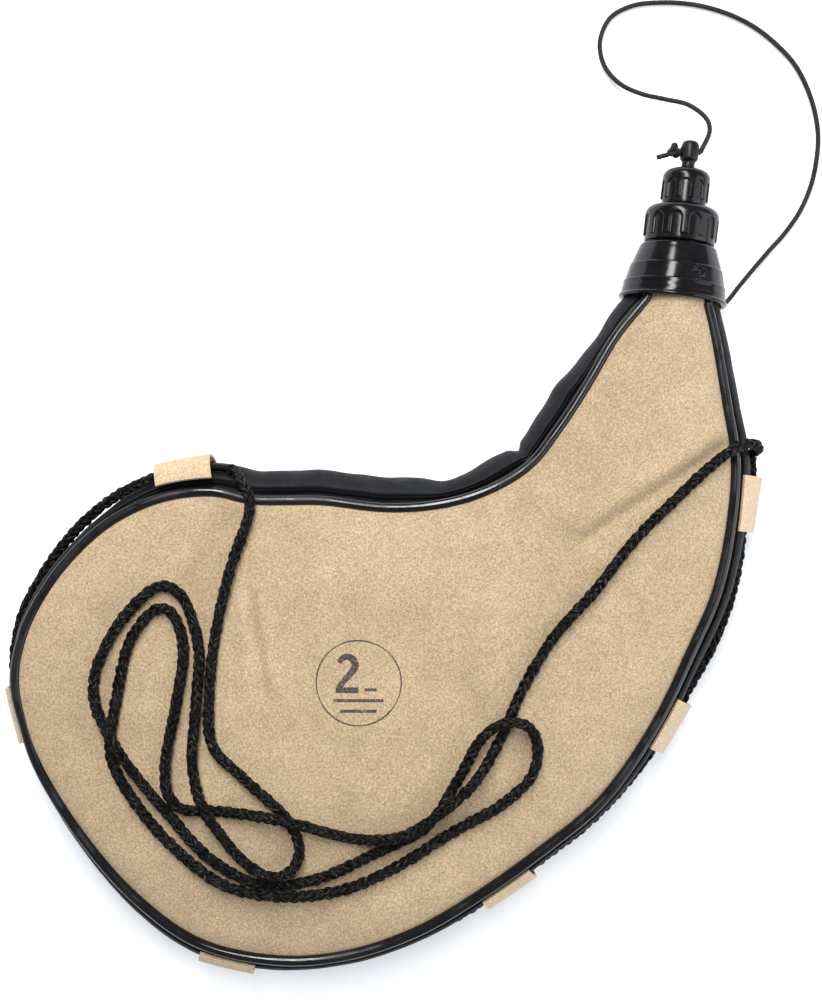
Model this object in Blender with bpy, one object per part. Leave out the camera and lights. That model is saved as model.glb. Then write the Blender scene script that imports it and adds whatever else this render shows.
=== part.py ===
# Leather drinking bag (bota) with a screwed neck, a tethered spout cap and a braided sling.
# It lies on its back: +Z up, +Y towards the neck, the resting surface at z = 0. Metres.
import bisect
import math

import bmesh
import bpy
from mathutils import Vector
from mathutils.bvhtree import BVHTree

MM = 0.001
GAP = 0.3 * MM

# Bag body: two panels, cut alike, with a gusset between them
PANEL_WIDTH = 316 * MM
PANEL_LENGTH = 291 * MM
PANEL_THICKNESS = 1.6 * MM
FRONT_SEAM_HEIGHT = 40 * MM
BACK_SEAM_HEIGHT = 8.5 * MM
FRONT_CROWN = 10 * MM
BACK_CROWN = 20 * MM
END_BOW = 1.6 * MM
GUSSET_BULGE = 11 * MM
BACK_SEAM_TUCK = 7 * MM
GUSSET_THICKNESS = 1.2 * MM
PIPING_RADIUS = 2.3 * MM
BLADDER_WALL = 1.2 * MM
BLADDER_CLEARANCE = 1.1 * MM
BLADDER_SEAM_INSET = 4.5 * MM

# Panel outline from the neck to the far end, each point as shares of panel width and length
INNER_RAIL_SHARES = (
    (-0.086, -0.057), (-0.130, -0.137), (-0.168, -0.199), (-0.207, -0.252), (-0.264, -0.290),
    (-0.328, -0.311), (-0.405, -0.317), (-0.498, -0.306), (-0.553, -0.306), (-0.594, -0.305),
    (-0.647, -0.293), (-0.720, -0.302), (-0.795, -0.341), (-0.862, -0.412), (-0.907, -0.494),
    (-0.919, -0.540),
)
OUTER_RAIL_SHARES = (
    (0.052, -0.060), (0.068, -0.164), (0.079, -0.246), (0.073, -0.341), (0.053, -0.445),
    (0.018, -0.533), (-0.032, -0.645), (-0.105, -0.758), (-0.186, -0.832), (-0.279, -0.904),
    (-0.363, -0.957), (-0.457, -0.992), (-0.553, -1.001), (-0.666, -0.975), (-0.756, -0.906),
    (-0.836, -0.805), (-0.893, -0.702), (-0.916, -0.623),
)
# Gusset bulge along the outline: (place along the outline, share of GUSSET_BULGE)
BULGE_SHARES = (
    (0.0, 0.80), (0.11, 0.85), (0.17, 1.25), (0.25, 1.20), (0.31, 0.68), (0.42, 0.68),
    (0.55, 1.0), (0.61, 0.88), (0.68, 0.92), (0.74, 0.86), (0.79, 0.92), (0.84, 1.03),
    (0.93, 1.0), (1.0, 1.0),
)
# How far the back seam lies inside the front seam: (place along the outline, share of the tuck)
TUCK_SHARES = ((0.0, 0.0), (0.25, 0.0), (0.33, 0.8), (0.42, 1.0), (0.82, 1.0), (0.93, 0.5), (1.0, 0.0))
# Rib columns across a panel, closer together at the seams
COLUMN_SHARES = (0.0, 0.08, 0.26, 0.50, 0.74, 0.92, 1.0)
RIB_COUNT = 25
GUSSET_ARC_COUNT = 6
# Where the gusset carries the sling: (place along the outline, degrees up from mid belly)
SLING_SEATS = (
    (0.23, 48), (0.27, 47), (0.35, 0), (0.42, -30), (0.60, -40), (0.66, -18), (0.76, -14),
    (0.80, -8), (0.84, 2), (0.89, -20), (0.95, 4),
)

# Neck: one axis for the collar, the filler neck and both caps, lying level
NECK_BASE_X = 130.25 * MM
NECK_BASE_Y = 113.53 * MM
NECK_TILT = math.radians(6.6)
RIM_CLEARANCE = 0.4 * MM
NECK_SIDES = 32

COLLAR_LENGTH = 25.2 * MM
COLLAR_RIM_RADIUS = 24.2 * MM
COLLAR_SKIRT_RADIUS = 23.0 * MM
COLLAR_LOWER_STEP = 7.8 * MM
COLLAR_LOWER_RADIUS = 22.3 * MM
COLLAR_UPPER_STEP = 15.2 * MM
COLLAR_UPPER_RADIUS = 20.1 * MM
COLLAR_TOP_RADIUS = 16.8 * MM
COLLAR_RIDGE = 0.45 * MM
COLLAR_WALL = 1.6 * MM
COLLAR_EDGE = 1.4 * MM
SKIRT_BORE_RADIUS = 21.9 * MM
SKIRT_DEPTH = 5.0 * MM
THROAT_INSERT = 3.2 * MM
THROAT_CORNER_ANGLE = math.radians(46)

FILLER_BORE_RADIUS = 9.6 * MM
FILLER_NECK_RADIUS = 12.0 * MM
FILLER_NECK_START = 8.0 * MM
FILLER_FLANGE_THICKNESS = 1.6 * MM
CLAMP_WALL = 1.6 * MM
CLAMP_WIDTH = 5.0 * MM
SEAL_THICKNESS = 1.4 * MM

# Filler cap: large, fluted, screwed over the filler neck
FILLER_CAP_RADIUS = 16.5 * MM
FILLER_CAP_LENGTH = 16.4 * MM
FILLER_CAP_STANDOFF = 1.2 * MM
FILLER_CAP_TOP_WALL = 2.4 * MM
FILLER_FLUTES = 12
FILLER_FLUTE_WIDTH = 5.4 * MM
FILLER_FLUTE_LENGTH = 9.6 * MM

# Spout and its cap: small, fluted, with a knob that is drilled across for the tether
SPOUT_RADIUS = 5.6 * MM
SPOUT_LENGTH = 12.6 * MM
SPOUT_BORE_RADIUS = 2.2 * MM
SPOUT_FLANGE_RADIUS = 8.4 * MM
SPOUT_FLANGE_THICKNESS = 1.2 * MM
SPOUT_CAP_RADIUS = 10.6 * MM
SPOUT_CAP_LENGTH = 16.2 * MM
SPOUT_CAP_STANDOFF = 0.9 * MM
SPOUT_FLUTES = 10
SPOUT_FLUTE_WIDTH = 4.2 * MM
SPOUT_FLUTE_LENGTH = 8.4 * MM
KNOB_NECK_RADIUS = 2.9 * MM
KNOB_NECK_LENGTH = 4.6 * MM
KNOB_RADIUS = 4.15 * MM
KNOB_LENGTH = 8.2 * MM
FLUTE_DEPTH = 0.8 * MM
CAP_BASE_RING = 2.2 * MM
SHOULDER_RADIUS = 4.0 * MM

# Cords and the loops that hold them
SLING_DIAMETER = 5.0 * MM
TETHER_DIAMETER = 2.2 * MM
CORD_CLEARANCE = 0.6 * MM
TETHER_SEAT_ANGLE = math.radians(-32)
TAB_WIDTH = 25 * MM
TAB_THICKNESS = 1.4 * MM
TAB_SLICES = 4
TAB_ARC_COUNT = 10
TAB_REACH_ANGLE = math.radians(70)
TAB_DRAPE = 6.2 * MM
# Middle of each tab, as a share of the outline's length
TAB_SHARES = (
    ("tab_upper_left", 0.2635), ("tab_far_left", 0.4050), ("tab_bottom", 0.5565),
    ("tab_lower_right", 0.6910), ("tab_right", 0.7955), ("tab_upper_right", 0.9030),
)

# Photo ruler: pixels per plane, from a viewpoint straight above the bag
PIXEL = 0.45 * MM
VIEW_U = 411
VIEW_V = 500
VIEW_X = 12.65 * MM
VIEW_Y = 24.73 * MM
VIEW_HEIGHT = 650 * MM
RULER_HEIGHT = 25 * MM

# Sling, free stretch. Ends: (pixel across, pixel down, height of the cord's middle in mm)
SLING_START = ((238, 478, 42), (246.5, 489, 45.2), (249.5, 501, 46.4))
SLING_FINISH = ((722, 457.5, 48.5), (735, 449, 47), (748, 443.5, 43.5), (758, 447, 37))
# Sling on the front panel: (pixel across, pixel down, strands underneath)
SLING_ON_PANEL = (
    (248.5, 515, 0.25), (238, 545, 0.2), (229, 573, 0.1), (222, 600, 0), (216, 630, 0), (211.5, 661, 0),
    (209.5, 690, 0), (208.5, 715, 0), (210, 738, 0), (218, 756, 0), (232.5, 770.5, 0), (251, 784, 0),
    (269, 798, 0), (283, 814, 0), (294.5, 832, 0), (299.5, 851, 0), (292, 870, 0.5),
    (276, 877.5, 0.85), (258, 873, 0.75), (239, 857, 0.3), (220, 834, 0.6), (204, 811, 1.35),
    (195, 786, 0.8), (192, 760, 0.3), (193, 729, 0.3), (196, 702, 0.3), (198.5, 672, 0.3),
    (198, 645, 0.1), (192, 618, 0), (180, 594, 0), (163, 586, 0), (144, 594, 0), (126, 613, 0),
    (109, 639, 0), (96, 668, 0), (93.5, 696, 0.2), (101, 722, 0.9), (113, 743, 1.2),
    (126, 764, 0.7), (142, 781, 0.2), (158, 800, 0), (173, 820, 0), (194, 844, 0), (217, 864, 0),
    (245, 880, 0), (274, 887, 0), (306, 883, 0), (340, 869, 0), (371, 855, 0), (401, 844, 0),
    (424, 829, 0), (440, 811, 0), (453, 790, 0), (464, 768, 0.1), (476, 746, 0.7), (491, 730, 1.1),
    (511, 722.5, 1.25), (528, 727, 0.8), (537, 742, 0.2), (537, 760, 0), (529, 781, 0),
    (513, 797, 0), (494, 809, 0), (468, 822, 0), (440, 841, 0), (418, 857, 0), (395, 867, 0),
    (365, 881, 0), (334, 893, 0.2), (303, 897, 0.75), (273, 896, 1.2), (242, 892, 1.1),
    (214, 880.5, 0.6), (192, 864, 0.25), (169, 842.5, 0), (152, 825, 0), (135, 802, 0), (120, 778, 0),
    (111, 757, 0), (110, 738, 0), (113.5, 716, 0.05), (118, 690, 0), (123, 662, 0), (132, 637, 0),
    (146, 616, 0), (163, 608, 0), (174, 616, 0), (181, 633, 0), (183, 657, 0), (178, 690, 0),
    (173, 720, 0), (167, 750, 0), (164.5, 775, 0.2), (169, 797, 0.7), (183, 809.5, 0.2),
    (204, 810.5, 0), (230, 812.5, 0), (258, 817, 0.8), (287, 822, 1.2), (315, 830, 0.5),
    (343, 837, 0), (372, 840, 0.3), (398, 838, 1), (420, 828, 1), (441, 812, 1.15), (461, 798, 1.2),
    (477, 779, 0.9), (490, 760, 0.3), (499, 742, 0), (507, 725, 0), (516, 705, 0), (526, 682, 0),
    (540, 655, 0), (560, 630, 0), (600, 585, 0), (634, 541, 0), (672, 503, 0.15), (703, 472, 0.4),
)
# Tether from the knob, round over the resting surface, to the back of the collar rim
TETHER_ROUTE = (
    (704, 145.5, 24.4), (708.5, 136, 23.5), (709.5, 126, 22), (704, 115.5, 20), (691, 106, 17),
    (672, 100.5, 13), (652, 97, 10), (634, 91, 7), (619, 83, 4.5), (608, 71, 2.5), (601, 57, 1.4),
    (600, 41, 1.4), (605, 25, 1.4), (617, 12, 1.4), (638, 4.5, 1.4), (662, 2.5, 1.4),
    (692, 4.5, 1.4), (723, 12, 1.4), (750, 24.5, 1.4), (775, 43, 1.4), (797, 68, 1.4),
    (811, 98, 1.4), (818, 131, 1.4), (816, 163, 1.4), (806, 199, 1.4), (788, 229, 1.4),
    (766, 254, 2.4), (746, 278, 5), (733, 294, 8), (727, 301.5, 10),
)
# Stopper knot beside the knob, as shares of the tether's diameter
KNOT_REACH_SHARE = 1.6
KNOT_ENTRY_SHARE = 1.3
KNOT_COIL_SHARE = 1.05
KNOT_SWAY_SHARE = 0.71
KNOT_SWAY_STEP_SHARE = 0.19
KNOT_TAIL_SHARES = ((-2.1, -0.98), (-3.64, -1.69))
KNOT_COIL_STEPS = 10
KNOT_COIL_START = math.radians(96)
KNOT_COIL_TURN = math.radians(36)
CORD_STEP_SHARE = 5
CORD_TURN = math.radians(33)


def clear_scene():
    for item in list(bpy.data.objects):
        bpy.data.objects.remove(item, do_unlink=True)


def material(name, color, roughness, metallic=0.0):
    found = bpy.data.materials.get(name)
    if found:
        return found
    made = bpy.data.materials.new(name)
    made.use_nodes = True
    shader = made.node_tree.nodes["Principled BSDF"]
    shader.inputs["Base Color"].default_value = (*color, 1)
    shader.inputs["Roughness"].default_value = roughness
    shader.inputs["Metallic"].default_value = metallic
    made.diffuse_color = (*color, 1)
    return made


def suede():
    return material("tan_suede", (0.61, 0.46, 0.27), 0.9)


def tab_suede():
    return material("pale_suede", (0.72, 0.51, 0.31), 0.9)


def leatherette():
    return material("black_leatherette", (0.012, 0.012, 0.013), 0.38)


def vinyl():
    return material("black_vinyl", (0.008, 0.008, 0.010), 0.22)


def cap_plastic():
    return material("black_plastic", (0.010, 0.010, 0.012), 0.28)


def cord_yarn():
    return material("black_yarn", (0.006, 0.006, 0.007), 0.75)


def rubber():
    return material("grey_rubber", (0.08, 0.08, 0.08), 0.7)


def bladder_film():
    return material("clear_bladder", (0.55, 0.50, 0.40), 0.45)


def mesh_object(name, vertices, faces, finish, smooth_angle=35):
    mesh = bpy.data.meshes.new(name)
    mesh.from_pydata([tuple(point) for point in vertices], [], faces)
    mesh.update()
    work = bmesh.new()
    work.from_mesh(mesh)
    bmesh.ops.recalc_face_normals(work, faces=work.faces)
    work.to_mesh(mesh)
    work.free()
    mesh.shade_smooth()
    mesh.set_sharp_from_angle(angle=math.radians(smooth_angle))
    mesh.materials.append(finish)
    made = bpy.data.objects.new(name, mesh)
    bpy.context.scene.collection.objects.link(made)
    return made


def tube_object(name, points, radius, finish, resolution=2):
    curve = bpy.data.curves.new(name, "CURVE")
    curve.dimensions = "3D"
    curve.bevel_depth = radius
    curve.bevel_resolution = resolution
    curve.use_fill_caps = True
    spline = curve.splines.new("POLY")
    spline.points.add(len(points) - 1)
    for slot, point in zip(spline.points, points):
        slot.co = (*point, 1)
    spline.use_smooth = True
    curve.materials.append(finish)
    made = bpy.data.objects.new(name, curve)
    bpy.context.scene.collection.objects.link(made)
    return made


def blend_table(table, place):
    places = [row[0] for row in table]
    slot = min(max(bisect.bisect_right(places, place) - 1, 0), len(table) - 2)
    low, high = table[slot], table[slot + 1]
    part = min(max((place - low[0]) / (high[0] - low[0]), 0), 1)
    part = part * part * (3 - 2 * part)
    return low[1] + (high[1] - low[1]) * part


def ease(part):
    part = min(max(part, 0), 1)
    return part * part * (3 - 2 * part)


def smooth_curve(points, samples=12):
    """A Catmull-Rom curve through the points, with even knots by square root of length."""
    padded = [points[0] * 2 - points[1], *points, points[-1] * 2 - points[-2]]
    result = []
    for index in range(len(points) - 1):
        p0, p1, p2, p3 = padded[index:index + 4]
        t1 = (p1 - p0).length ** 0.5
        t2 = t1 + (p2 - p1).length ** 0.5
        t3 = t2 + (p3 - p2).length ** 0.5
        for step in range(samples):
            t = t1 + (t2 - t1) * step / samples
            a1 = p0.lerp(p1, t / t1)
            a2 = p1.lerp(p2, (t - t1) / (t2 - t1))
            a3 = p2.lerp(p3, (t - t2) / (t3 - t2))
            b1 = a1.lerp(a2, t / t2)
            b2 = a2.lerp(a3, (t - t1) / (t3 - t1))
            result.append(b1.lerp(b2, (t - t1) / (t2 - t1)))
    result.append(points[-1].copy())
    return result


def lengths_along(points):
    run = [0.0]
    for before, after in zip(points, points[1:]):
        run.append(run[-1] + (after - before).length)
    return run


def at_length(points, run, length):
    slot = min(max(bisect.bisect_right(run, length) - 1, 0), len(points) - 2)
    span = run[slot + 1] - run[slot]
    return points[slot].lerp(points[slot + 1], (length - run[slot]) / span)


def even_points(points, count):
    run = lengths_along(points)
    return [at_length(points, run, run[-1] * index / (count - 1)) for index in range(count)]


def neck_height():
    return COLLAR_RIM_RADIUS + RIM_CLEARANCE


def neck_axis():
    return Vector((math.sin(NECK_TILT), math.cos(NECK_TILT), 0))


def neck_across():
    return Vector((math.cos(NECK_TILT), -math.sin(NECK_TILT), 0))


def neck_point(across, along):
    base = Vector((NECK_BASE_X, NECK_BASE_Y, 0))
    return base + neck_across() * across + neck_axis() * along


def throat_radius():
    """From the neck axis to the middle of a piping, where the bag enters the collar skirt."""
    return SKIRT_BORE_RADIUS - GAP - PIPING_RADIUS


def throat_half_width():
    return throat_radius() * math.cos(THROAT_CORNER_ANGLE)


def throat_half_height():
    return throat_radius() * math.sin(THROAT_CORNER_ANGLE)


class Station:
    """One place along the outline, with the seams and the gusset's shape between them."""

    def __init__(self, point, outward, top, bottom, bulge, tuck):
        self.point = point
        self.outward = outward
        self.top = top
        self.bottom = bottom
        self.bulge = bulge
        self.tuck = tuck

    def middle(self):
        return (self.top + self.bottom) / 2

    def at(self, offset, height):
        plan = self.point + self.outward * offset
        return Vector((plan.x, plan.y, height))

    def half_height(self):
        return (self.top - self.bottom) / 2 - PIPING_RADIUS - GAP

    def belly(self, angle):
        """How far out the gusset's face is, at an angle up from the middle of its belly."""
        return self.bulge * math.cos(angle) - self.tuck * (1 - math.sin(angle)) / 2


def rail(shares, side):
    half = throat_half_width()
    tucked = neck_point(side * half, THROAT_INSERT)
    points = [neck_point(side * half, -COLLAR_WALL)]
    for across_share, along_share in shares:
        points.append(Vector((
            NECK_BASE_X + across_share * PANEL_WIDTH,
            NECK_BASE_Y + along_share * PANEL_LENGTH,
            0,
        )))
    return [tucked] + even_points(smooth_curve(points), RIB_COUNT - 1)


def rib(start, end, bow):
    """Plan points across a panel from rail to rail, bowed away from the neck."""
    span = end - start
    away = Vector((span.y, -span.x, 0)).normalized()
    return [
        start.lerp(end, share) + away * (bow * 4 * share * (1 - share))
        for share in COLUMN_SHARES
    ]


def outline_loop():
    """The panel outline: inner rail, far end, then the outer rail back to the neck."""
    inner = rail(INNER_RAIL_SHARES, -1)
    outer = rail(OUTER_RAIL_SHARES, 1)
    end_rib = rib(inner[-1], outer[-1], END_BOW)
    return inner + end_rib[1:-1] + outer[::-1]


def stations():
    loop = outline_loop()
    run = lengths_along(loop)
    total = run[-1]
    neck_reach = PANEL_WIDTH / 4
    neck_bulge = throat_radius() + PIPING_RADIUS - throat_half_width() - GAP
    result = []
    for index, point in enumerate(loop):
        before = loop[max(index - 1, 0)]
        after = loop[min(index + 1, len(loop) - 1)]
        along = (after - before).normalized()
        if index in (0, len(loop) - 1):
            outward = neck_across() * (1 if index else -1)
        else:
            outward = Vector((along.y, -along.x, 0))
        from_neck = ease((min(run[index], total - run[index]) - run[1]) / neck_reach)
        top = neck_height() + throat_half_height()
        bottom = neck_height() - throat_half_height()
        full_bulge = GUSSET_BULGE * blend_table(BULGE_SHARES, run[index] / total)
        result.append(Station(
            point,
            outward,
            top + (FRONT_SEAM_HEIGHT - top) * from_neck,
            bottom + (BACK_SEAM_HEIGHT - bottom) * from_neck,
            neck_bulge + (full_bulge - neck_bulge) * from_neck,
            BACK_SEAM_TUCK * blend_table(TUCK_SHARES, run[index] / total),
        ))
    return result


def rib_stations(ring):
    """Inner station, outer station for every rib but the last, which is the far end itself."""
    return [(ring[index], ring[-1 - index]) for index in range(RIB_COUNT)]


def inset_grid(ring, inset, tuck_share=0):
    """Plan points of a panel: ribs from the neck to the far end, drawn in from the outline."""
    grid = []
    pairs = rib_stations(ring)
    for index, (inner, outer) in enumerate(pairs):
        start = inner.point - inner.outward * (inset + inner.tuck * tuck_share)
        end = outer.point - outer.outward * (inset + outer.tuck * tuck_share)
        shortened = (end - start).length / (outer.point - inner.point).length
        bow = END_BOW * (index / (RIB_COUNT - 1)) ** 6 * shortened ** 2
        grid.append(rib(start, end, bow))
    return grid


def crown_share(index, share):
    """How much of the crown stands at a rib and a column: none at the seams and the far end."""
    along = index / (RIB_COUNT - 1)
    across = 1 - (2 * share - 1) ** 2
    return across ** 0.8 * (1 - along ** 5)


def front_height(pair, index, share):
    """Middle of the front panel's leather."""
    neck_crown = throat_radius() - throat_half_height()
    near_neck = 1 - ease(index / 5)
    crown = FRONT_CROWN + (neck_crown - FRONT_CROWN) * near_neck
    seam = pair[0].top + (pair[1].top - pair[0].top) * share
    return seam + crown * crown_share(index, share)


def back_underside(pair, index, share):
    """Underside of the back panel, pressed flat where it would drop below the surface."""
    neck_crown = throat_radius() - throat_half_height()
    near_neck = 1 - ease(index / 5)
    crown = BACK_CROWN + (neck_crown - BACK_CROWN) * near_neck
    seam = pair[0].bottom + (pair[1].bottom - pair[0].bottom) * share
    return max(0, seam - PANEL_THICKNESS / 2 - crown * crown_share(index, share))


def sheet_object(name, upper, lower, finish):
    """A closed sheet between two grids of points that match row by row."""
    rows = len(upper)
    columns = len(upper[0])
    vertices = [point for row in upper for point in row]
    vertices += [point for row in lower for point in row]
    under = rows * columns
    faces = []
    for row in range(rows - 1):
        for column in range(columns - 1):
            a = row * columns + column
            b, c, d = a + 1, a + columns + 1, a + columns
            faces.append((a, b, c, d))
            faces.append((under + d, under + c, under + b, under + a))
    rim = [column for column in range(columns)]
    rim += [row * columns + columns - 1 for row in range(1, rows)]
    rim += [(rows - 1) * columns + column for column in range(columns - 2, -1, -1)]
    rim += [row * columns for row in range(rows - 2, 0, -1)]
    for here, there in zip(rim, rim[1:] + rim[:1]):
        faces.append((here, under + here, under + there, there))
    return mesh_object(name, vertices, faces, finish)


def front_panel(ring):
    grid = inset_grid(ring, PIPING_RADIUS + GAP)
    upper, lower = [], []
    for index, (pair, row) in enumerate(zip(rib_stations(ring), grid)):
        heights = [front_height(pair, index, share) for share in COLUMN_SHARES]
        half = PANEL_THICKNESS / 2
        upper.append([Vector((p.x, p.y, z + half)) for p, z in zip(row, heights)])
        lower.append([Vector((p.x, p.y, z - half)) for p, z in zip(row, heights)])
    return sheet_object("front_panel", upper, lower, suede())


def back_panel(ring):
    grid = inset_grid(ring, PIPING_RADIUS + GAP, tuck_share=1)
    upper, lower = [], []
    for index, (pair, row) in enumerate(zip(rib_stations(ring), grid)):
        heights = [back_underside(pair, index, share) for share in COLUMN_SHARES]
        lower.append([Vector((p.x, p.y, z)) for p, z in zip(row, heights)])
        upper.append([Vector((p.x, p.y, z + PANEL_THICKNESS)) for p, z in zip(row, heights)])
    return sheet_object("back_panel", upper, lower, leatherette())


def gusset(ring):
    """The side wall: one strip that bellies outwards, then slopes in to the back seam."""
    upper, lower = [], []
    for station in ring:
        half = station.half_height()
        outside, inside = [], []
        for step in range(GUSSET_ARC_COUNT + 1):
            angle = math.pi * (0.5 - step / GUSSET_ARC_COUNT)
            rise = math.sin(angle)
            height = station.middle() + half * rise
            outside.append(station.at(station.belly(angle), height))
            height = station.middle() + (half - GUSSET_THICKNESS * abs(rise)) * rise
            inside.append(station.at(station.belly(angle) - GUSSET_THICKNESS, height))
        upper.append(outside)
        lower.append(inside)
    return sheet_object("gusset", upper, lower, leatherette())


def piping(name, ring, front):
    if front:
        points = [station.at(0, station.top) for station in ring]
    else:
        points = [station.at(-station.tuck, station.bottom) for station in ring]
    return tube_object(name, points, PIPING_RADIUS, vinyl(), resolution=1)


def bladder_ring(ring, front_grid, back_grid, index, shrink):
    """One closed section of the bladder: over the top, down a side, back and up the other."""
    pair = rib_stations(ring)[index]
    clear = PANEL_THICKNESS + BLADDER_CLEARANCE + shrink
    seam_share = 0.5
    top, bottom = [], []
    for share, front, back in zip(COLUMN_SHARES, front_grid[index], back_grid[index]):
        high = front_height(pair, index, share) - clear
        low = back_underside(pair, index, share) + clear
        top.append(Vector((front.x, front.y, high)))
        bottom.append(Vector((back.x, back.y, low)))
    sides = []
    for station, edge in ((pair[1], -1), (pair[0], 0)):
        middle = (top[edge] + bottom[edge]) / 2
        plan = middle + station.outward * (station.bulge * seam_share)
        sides.append(Vector((plan.x, plan.y, station.middle())))
    return top + [sides[0]] + bottom[::-1] + [sides[1]]


def neck_ring(count, radius, along):
    """A round section on the neck axis, its points in the order of the bladder's sections."""
    centre = neck_point(0, along)
    centre.z = neck_height()
    reach = radius / math.cos(math.pi / count)
    result = []
    for index in range(count):
        angle = math.pi - 2 * math.pi * (index + 1) / count
        rise = Vector((0, 0, reach * math.sin(angle)))
        result.append(centre + neck_across() * (reach * math.cos(angle)) + rise)
    return result


def bladder(ring):
    """The liner: a film bag with a neck that is clamped round the filler neck."""
    sections = {}
    for shrink in (0, BLADDER_WALL):
        front_grid = inset_grid(ring, BLADDER_SEAM_INSET + shrink)
        back_grid = inset_grid(ring, BLADDER_SEAM_INSET + shrink, tuck_share=1)
        rings = [
            bladder_ring(ring, front_grid, back_grid, index, shrink)
            for index in range(1, RIB_COUNT)
        ]
        sleeve = FILLER_NECK_RADIUS + GAP + BLADDER_WALL - shrink
        tip = FILLER_NECK_START + CLAMP_WIDTH + FILLER_FLANGE_THICKNESS
        count = len(rings[0])
        neck = [
            neck_ring(count, sleeve, tip),
            neck_ring(count, sleeve, FILLER_NECK_START - GAP - BLADDER_WALL / 2),
            neck_ring(count, sleeve + BLADDER_WALL, THROAT_INSERT),
        ]
        sections[shrink] = neck + rings
    outer, inner = sections[0], sections[BLADDER_WALL]
    vertices = [point for section in outer for point in section]
    vertices += [point for section in inner for point in section]
    shift = len(outer) * count
    faces = []
    for row in range(len(outer) - 1):
        for column in range(count):
            a = row * count + column
            b = row * count + (column + 1) % count
            faces.append((a, b, b + count, a + count))
            faces.append((shift + a, shift + a + count, shift + b + count, shift + b))
    last = (len(outer) - 1) * count
    faces.append(tuple(last + column for column in range(count)))
    faces.append(tuple(shift + last + column for column in range(count - 1, -1, -1)))
    for column in range(count):
        after = (column + 1) % count
        faces.append((column, shift + column, shift + after, after))
    return mesh_object("bladder", vertices, faces, bladder_film())


def neck_frame():
    """An empty on the neck axis: its +Z runs out along the neck."""
    frame = bpy.data.objects.new("neck_axis", None)
    frame.location = neck_point(0, 0) + Vector((0, 0, neck_height()))
    frame.rotation_mode = "QUATERNION"
    frame.rotation_quaternion = neck_axis().to_track_quat("Z", "Y")
    bpy.context.scene.collection.objects.link(frame)
    return frame


def turned(name, profile, finish, frame, along=0.0, sides=NECK_SIDES):
    """A solid turned round the neck axis from a closed profile of (radius, place along)."""
    vertices, faces = [], []
    hollow = all(radius > 0 for radius, place in profile)
    for step in range(sides):
        angle = 2 * math.pi * step / sides
        for radius, place in profile:
            if radius > 0:
                vertices.append((radius * math.cos(angle), radius * math.sin(angle), place))
    ring = sum(1 for radius, place in profile if radius > 0)
    poles = []
    for radius, place in profile:
        if radius == 0:
            poles.append(len(vertices))
            vertices.append((0, 0, place))
    for step in range(sides):
        here = step * ring
        there = (step + 1) % sides * ring
        for index in range(ring - 1):
            faces.append((here + index, there + index, there + index + 1, here + index + 1))
        if hollow:
            faces.append((here + ring - 1, there + ring - 1, there, here))
        else:
            faces.append((poles[0], there, here))
            faces.append((poles[1], here + ring - 1, there + ring - 1))
    made = mesh_object(name, vertices, faces, finish, smooth_angle=40)
    made.parent = frame
    made.location = (0, 0, along)
    return made


def arc(centre_radius, centre_place, radius, start, end, count):
    """Profile points on an arc, in degrees from the outward direction."""
    result = []
    for step in range(count + 1):
        angle = math.radians(start + (end - start) * step / count)
        result.append((
            centre_radius + radius * math.cos(angle),
            centre_place + radius * math.sin(angle),
        ))
    return result


def neck_collar(frame):
    hole = FILLER_NECK_RADIUS + GAP
    lip = COLLAR_WALL / 2
    profile = [
        (SKIRT_BORE_RADIUS, 0),
        (COLLAR_RIM_RADIUS - lip / 2, 0),
        (COLLAR_RIM_RADIUS, lip / 2),
        (COLLAR_RIM_RADIUS, lip),
        (COLLAR_SKIRT_RADIUS, lip * 3),
        (COLLAR_LOWER_RADIUS + COLLAR_RIDGE, COLLAR_LOWER_STEP),
        (COLLAR_LOWER_RADIUS, COLLAR_LOWER_STEP + COLLAR_RIDGE),
        (COLLAR_UPPER_RADIUS + COLLAR_RIDGE, COLLAR_UPPER_STEP),
        (COLLAR_UPPER_RADIUS, COLLAR_UPPER_STEP + COLLAR_RIDGE),
        *arc(COLLAR_TOP_RADIUS - COLLAR_EDGE, COLLAR_LENGTH - COLLAR_EDGE, COLLAR_EDGE, 12, 90, 3),
        (hole, COLLAR_LENGTH),
        (hole, COLLAR_LENGTH - COLLAR_WALL),
        (COLLAR_TOP_RADIUS - COLLAR_WALL, COLLAR_LENGTH - COLLAR_WALL),
        (COLLAR_UPPER_RADIUS - COLLAR_WALL, COLLAR_UPPER_STEP),
        (SKIRT_BORE_RADIUS - COLLAR_WALL, SKIRT_DEPTH + COLLAR_WALL),
        (SKIRT_BORE_RADIUS, SKIRT_DEPTH),
    ]
    return turned("neck_collar", profile, cap_plastic(), frame)


def filler_seat():
    """Where the filler cap's lower edge stands when it is screwed home."""
    return COLLAR_LENGTH + FILLER_CAP_STANDOFF


def filler_roof():
    """The inside face of the filler cap's top."""
    return filler_seat() + FILLER_CAP_LENGTH - FILLER_CAP_TOP_WALL


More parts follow.
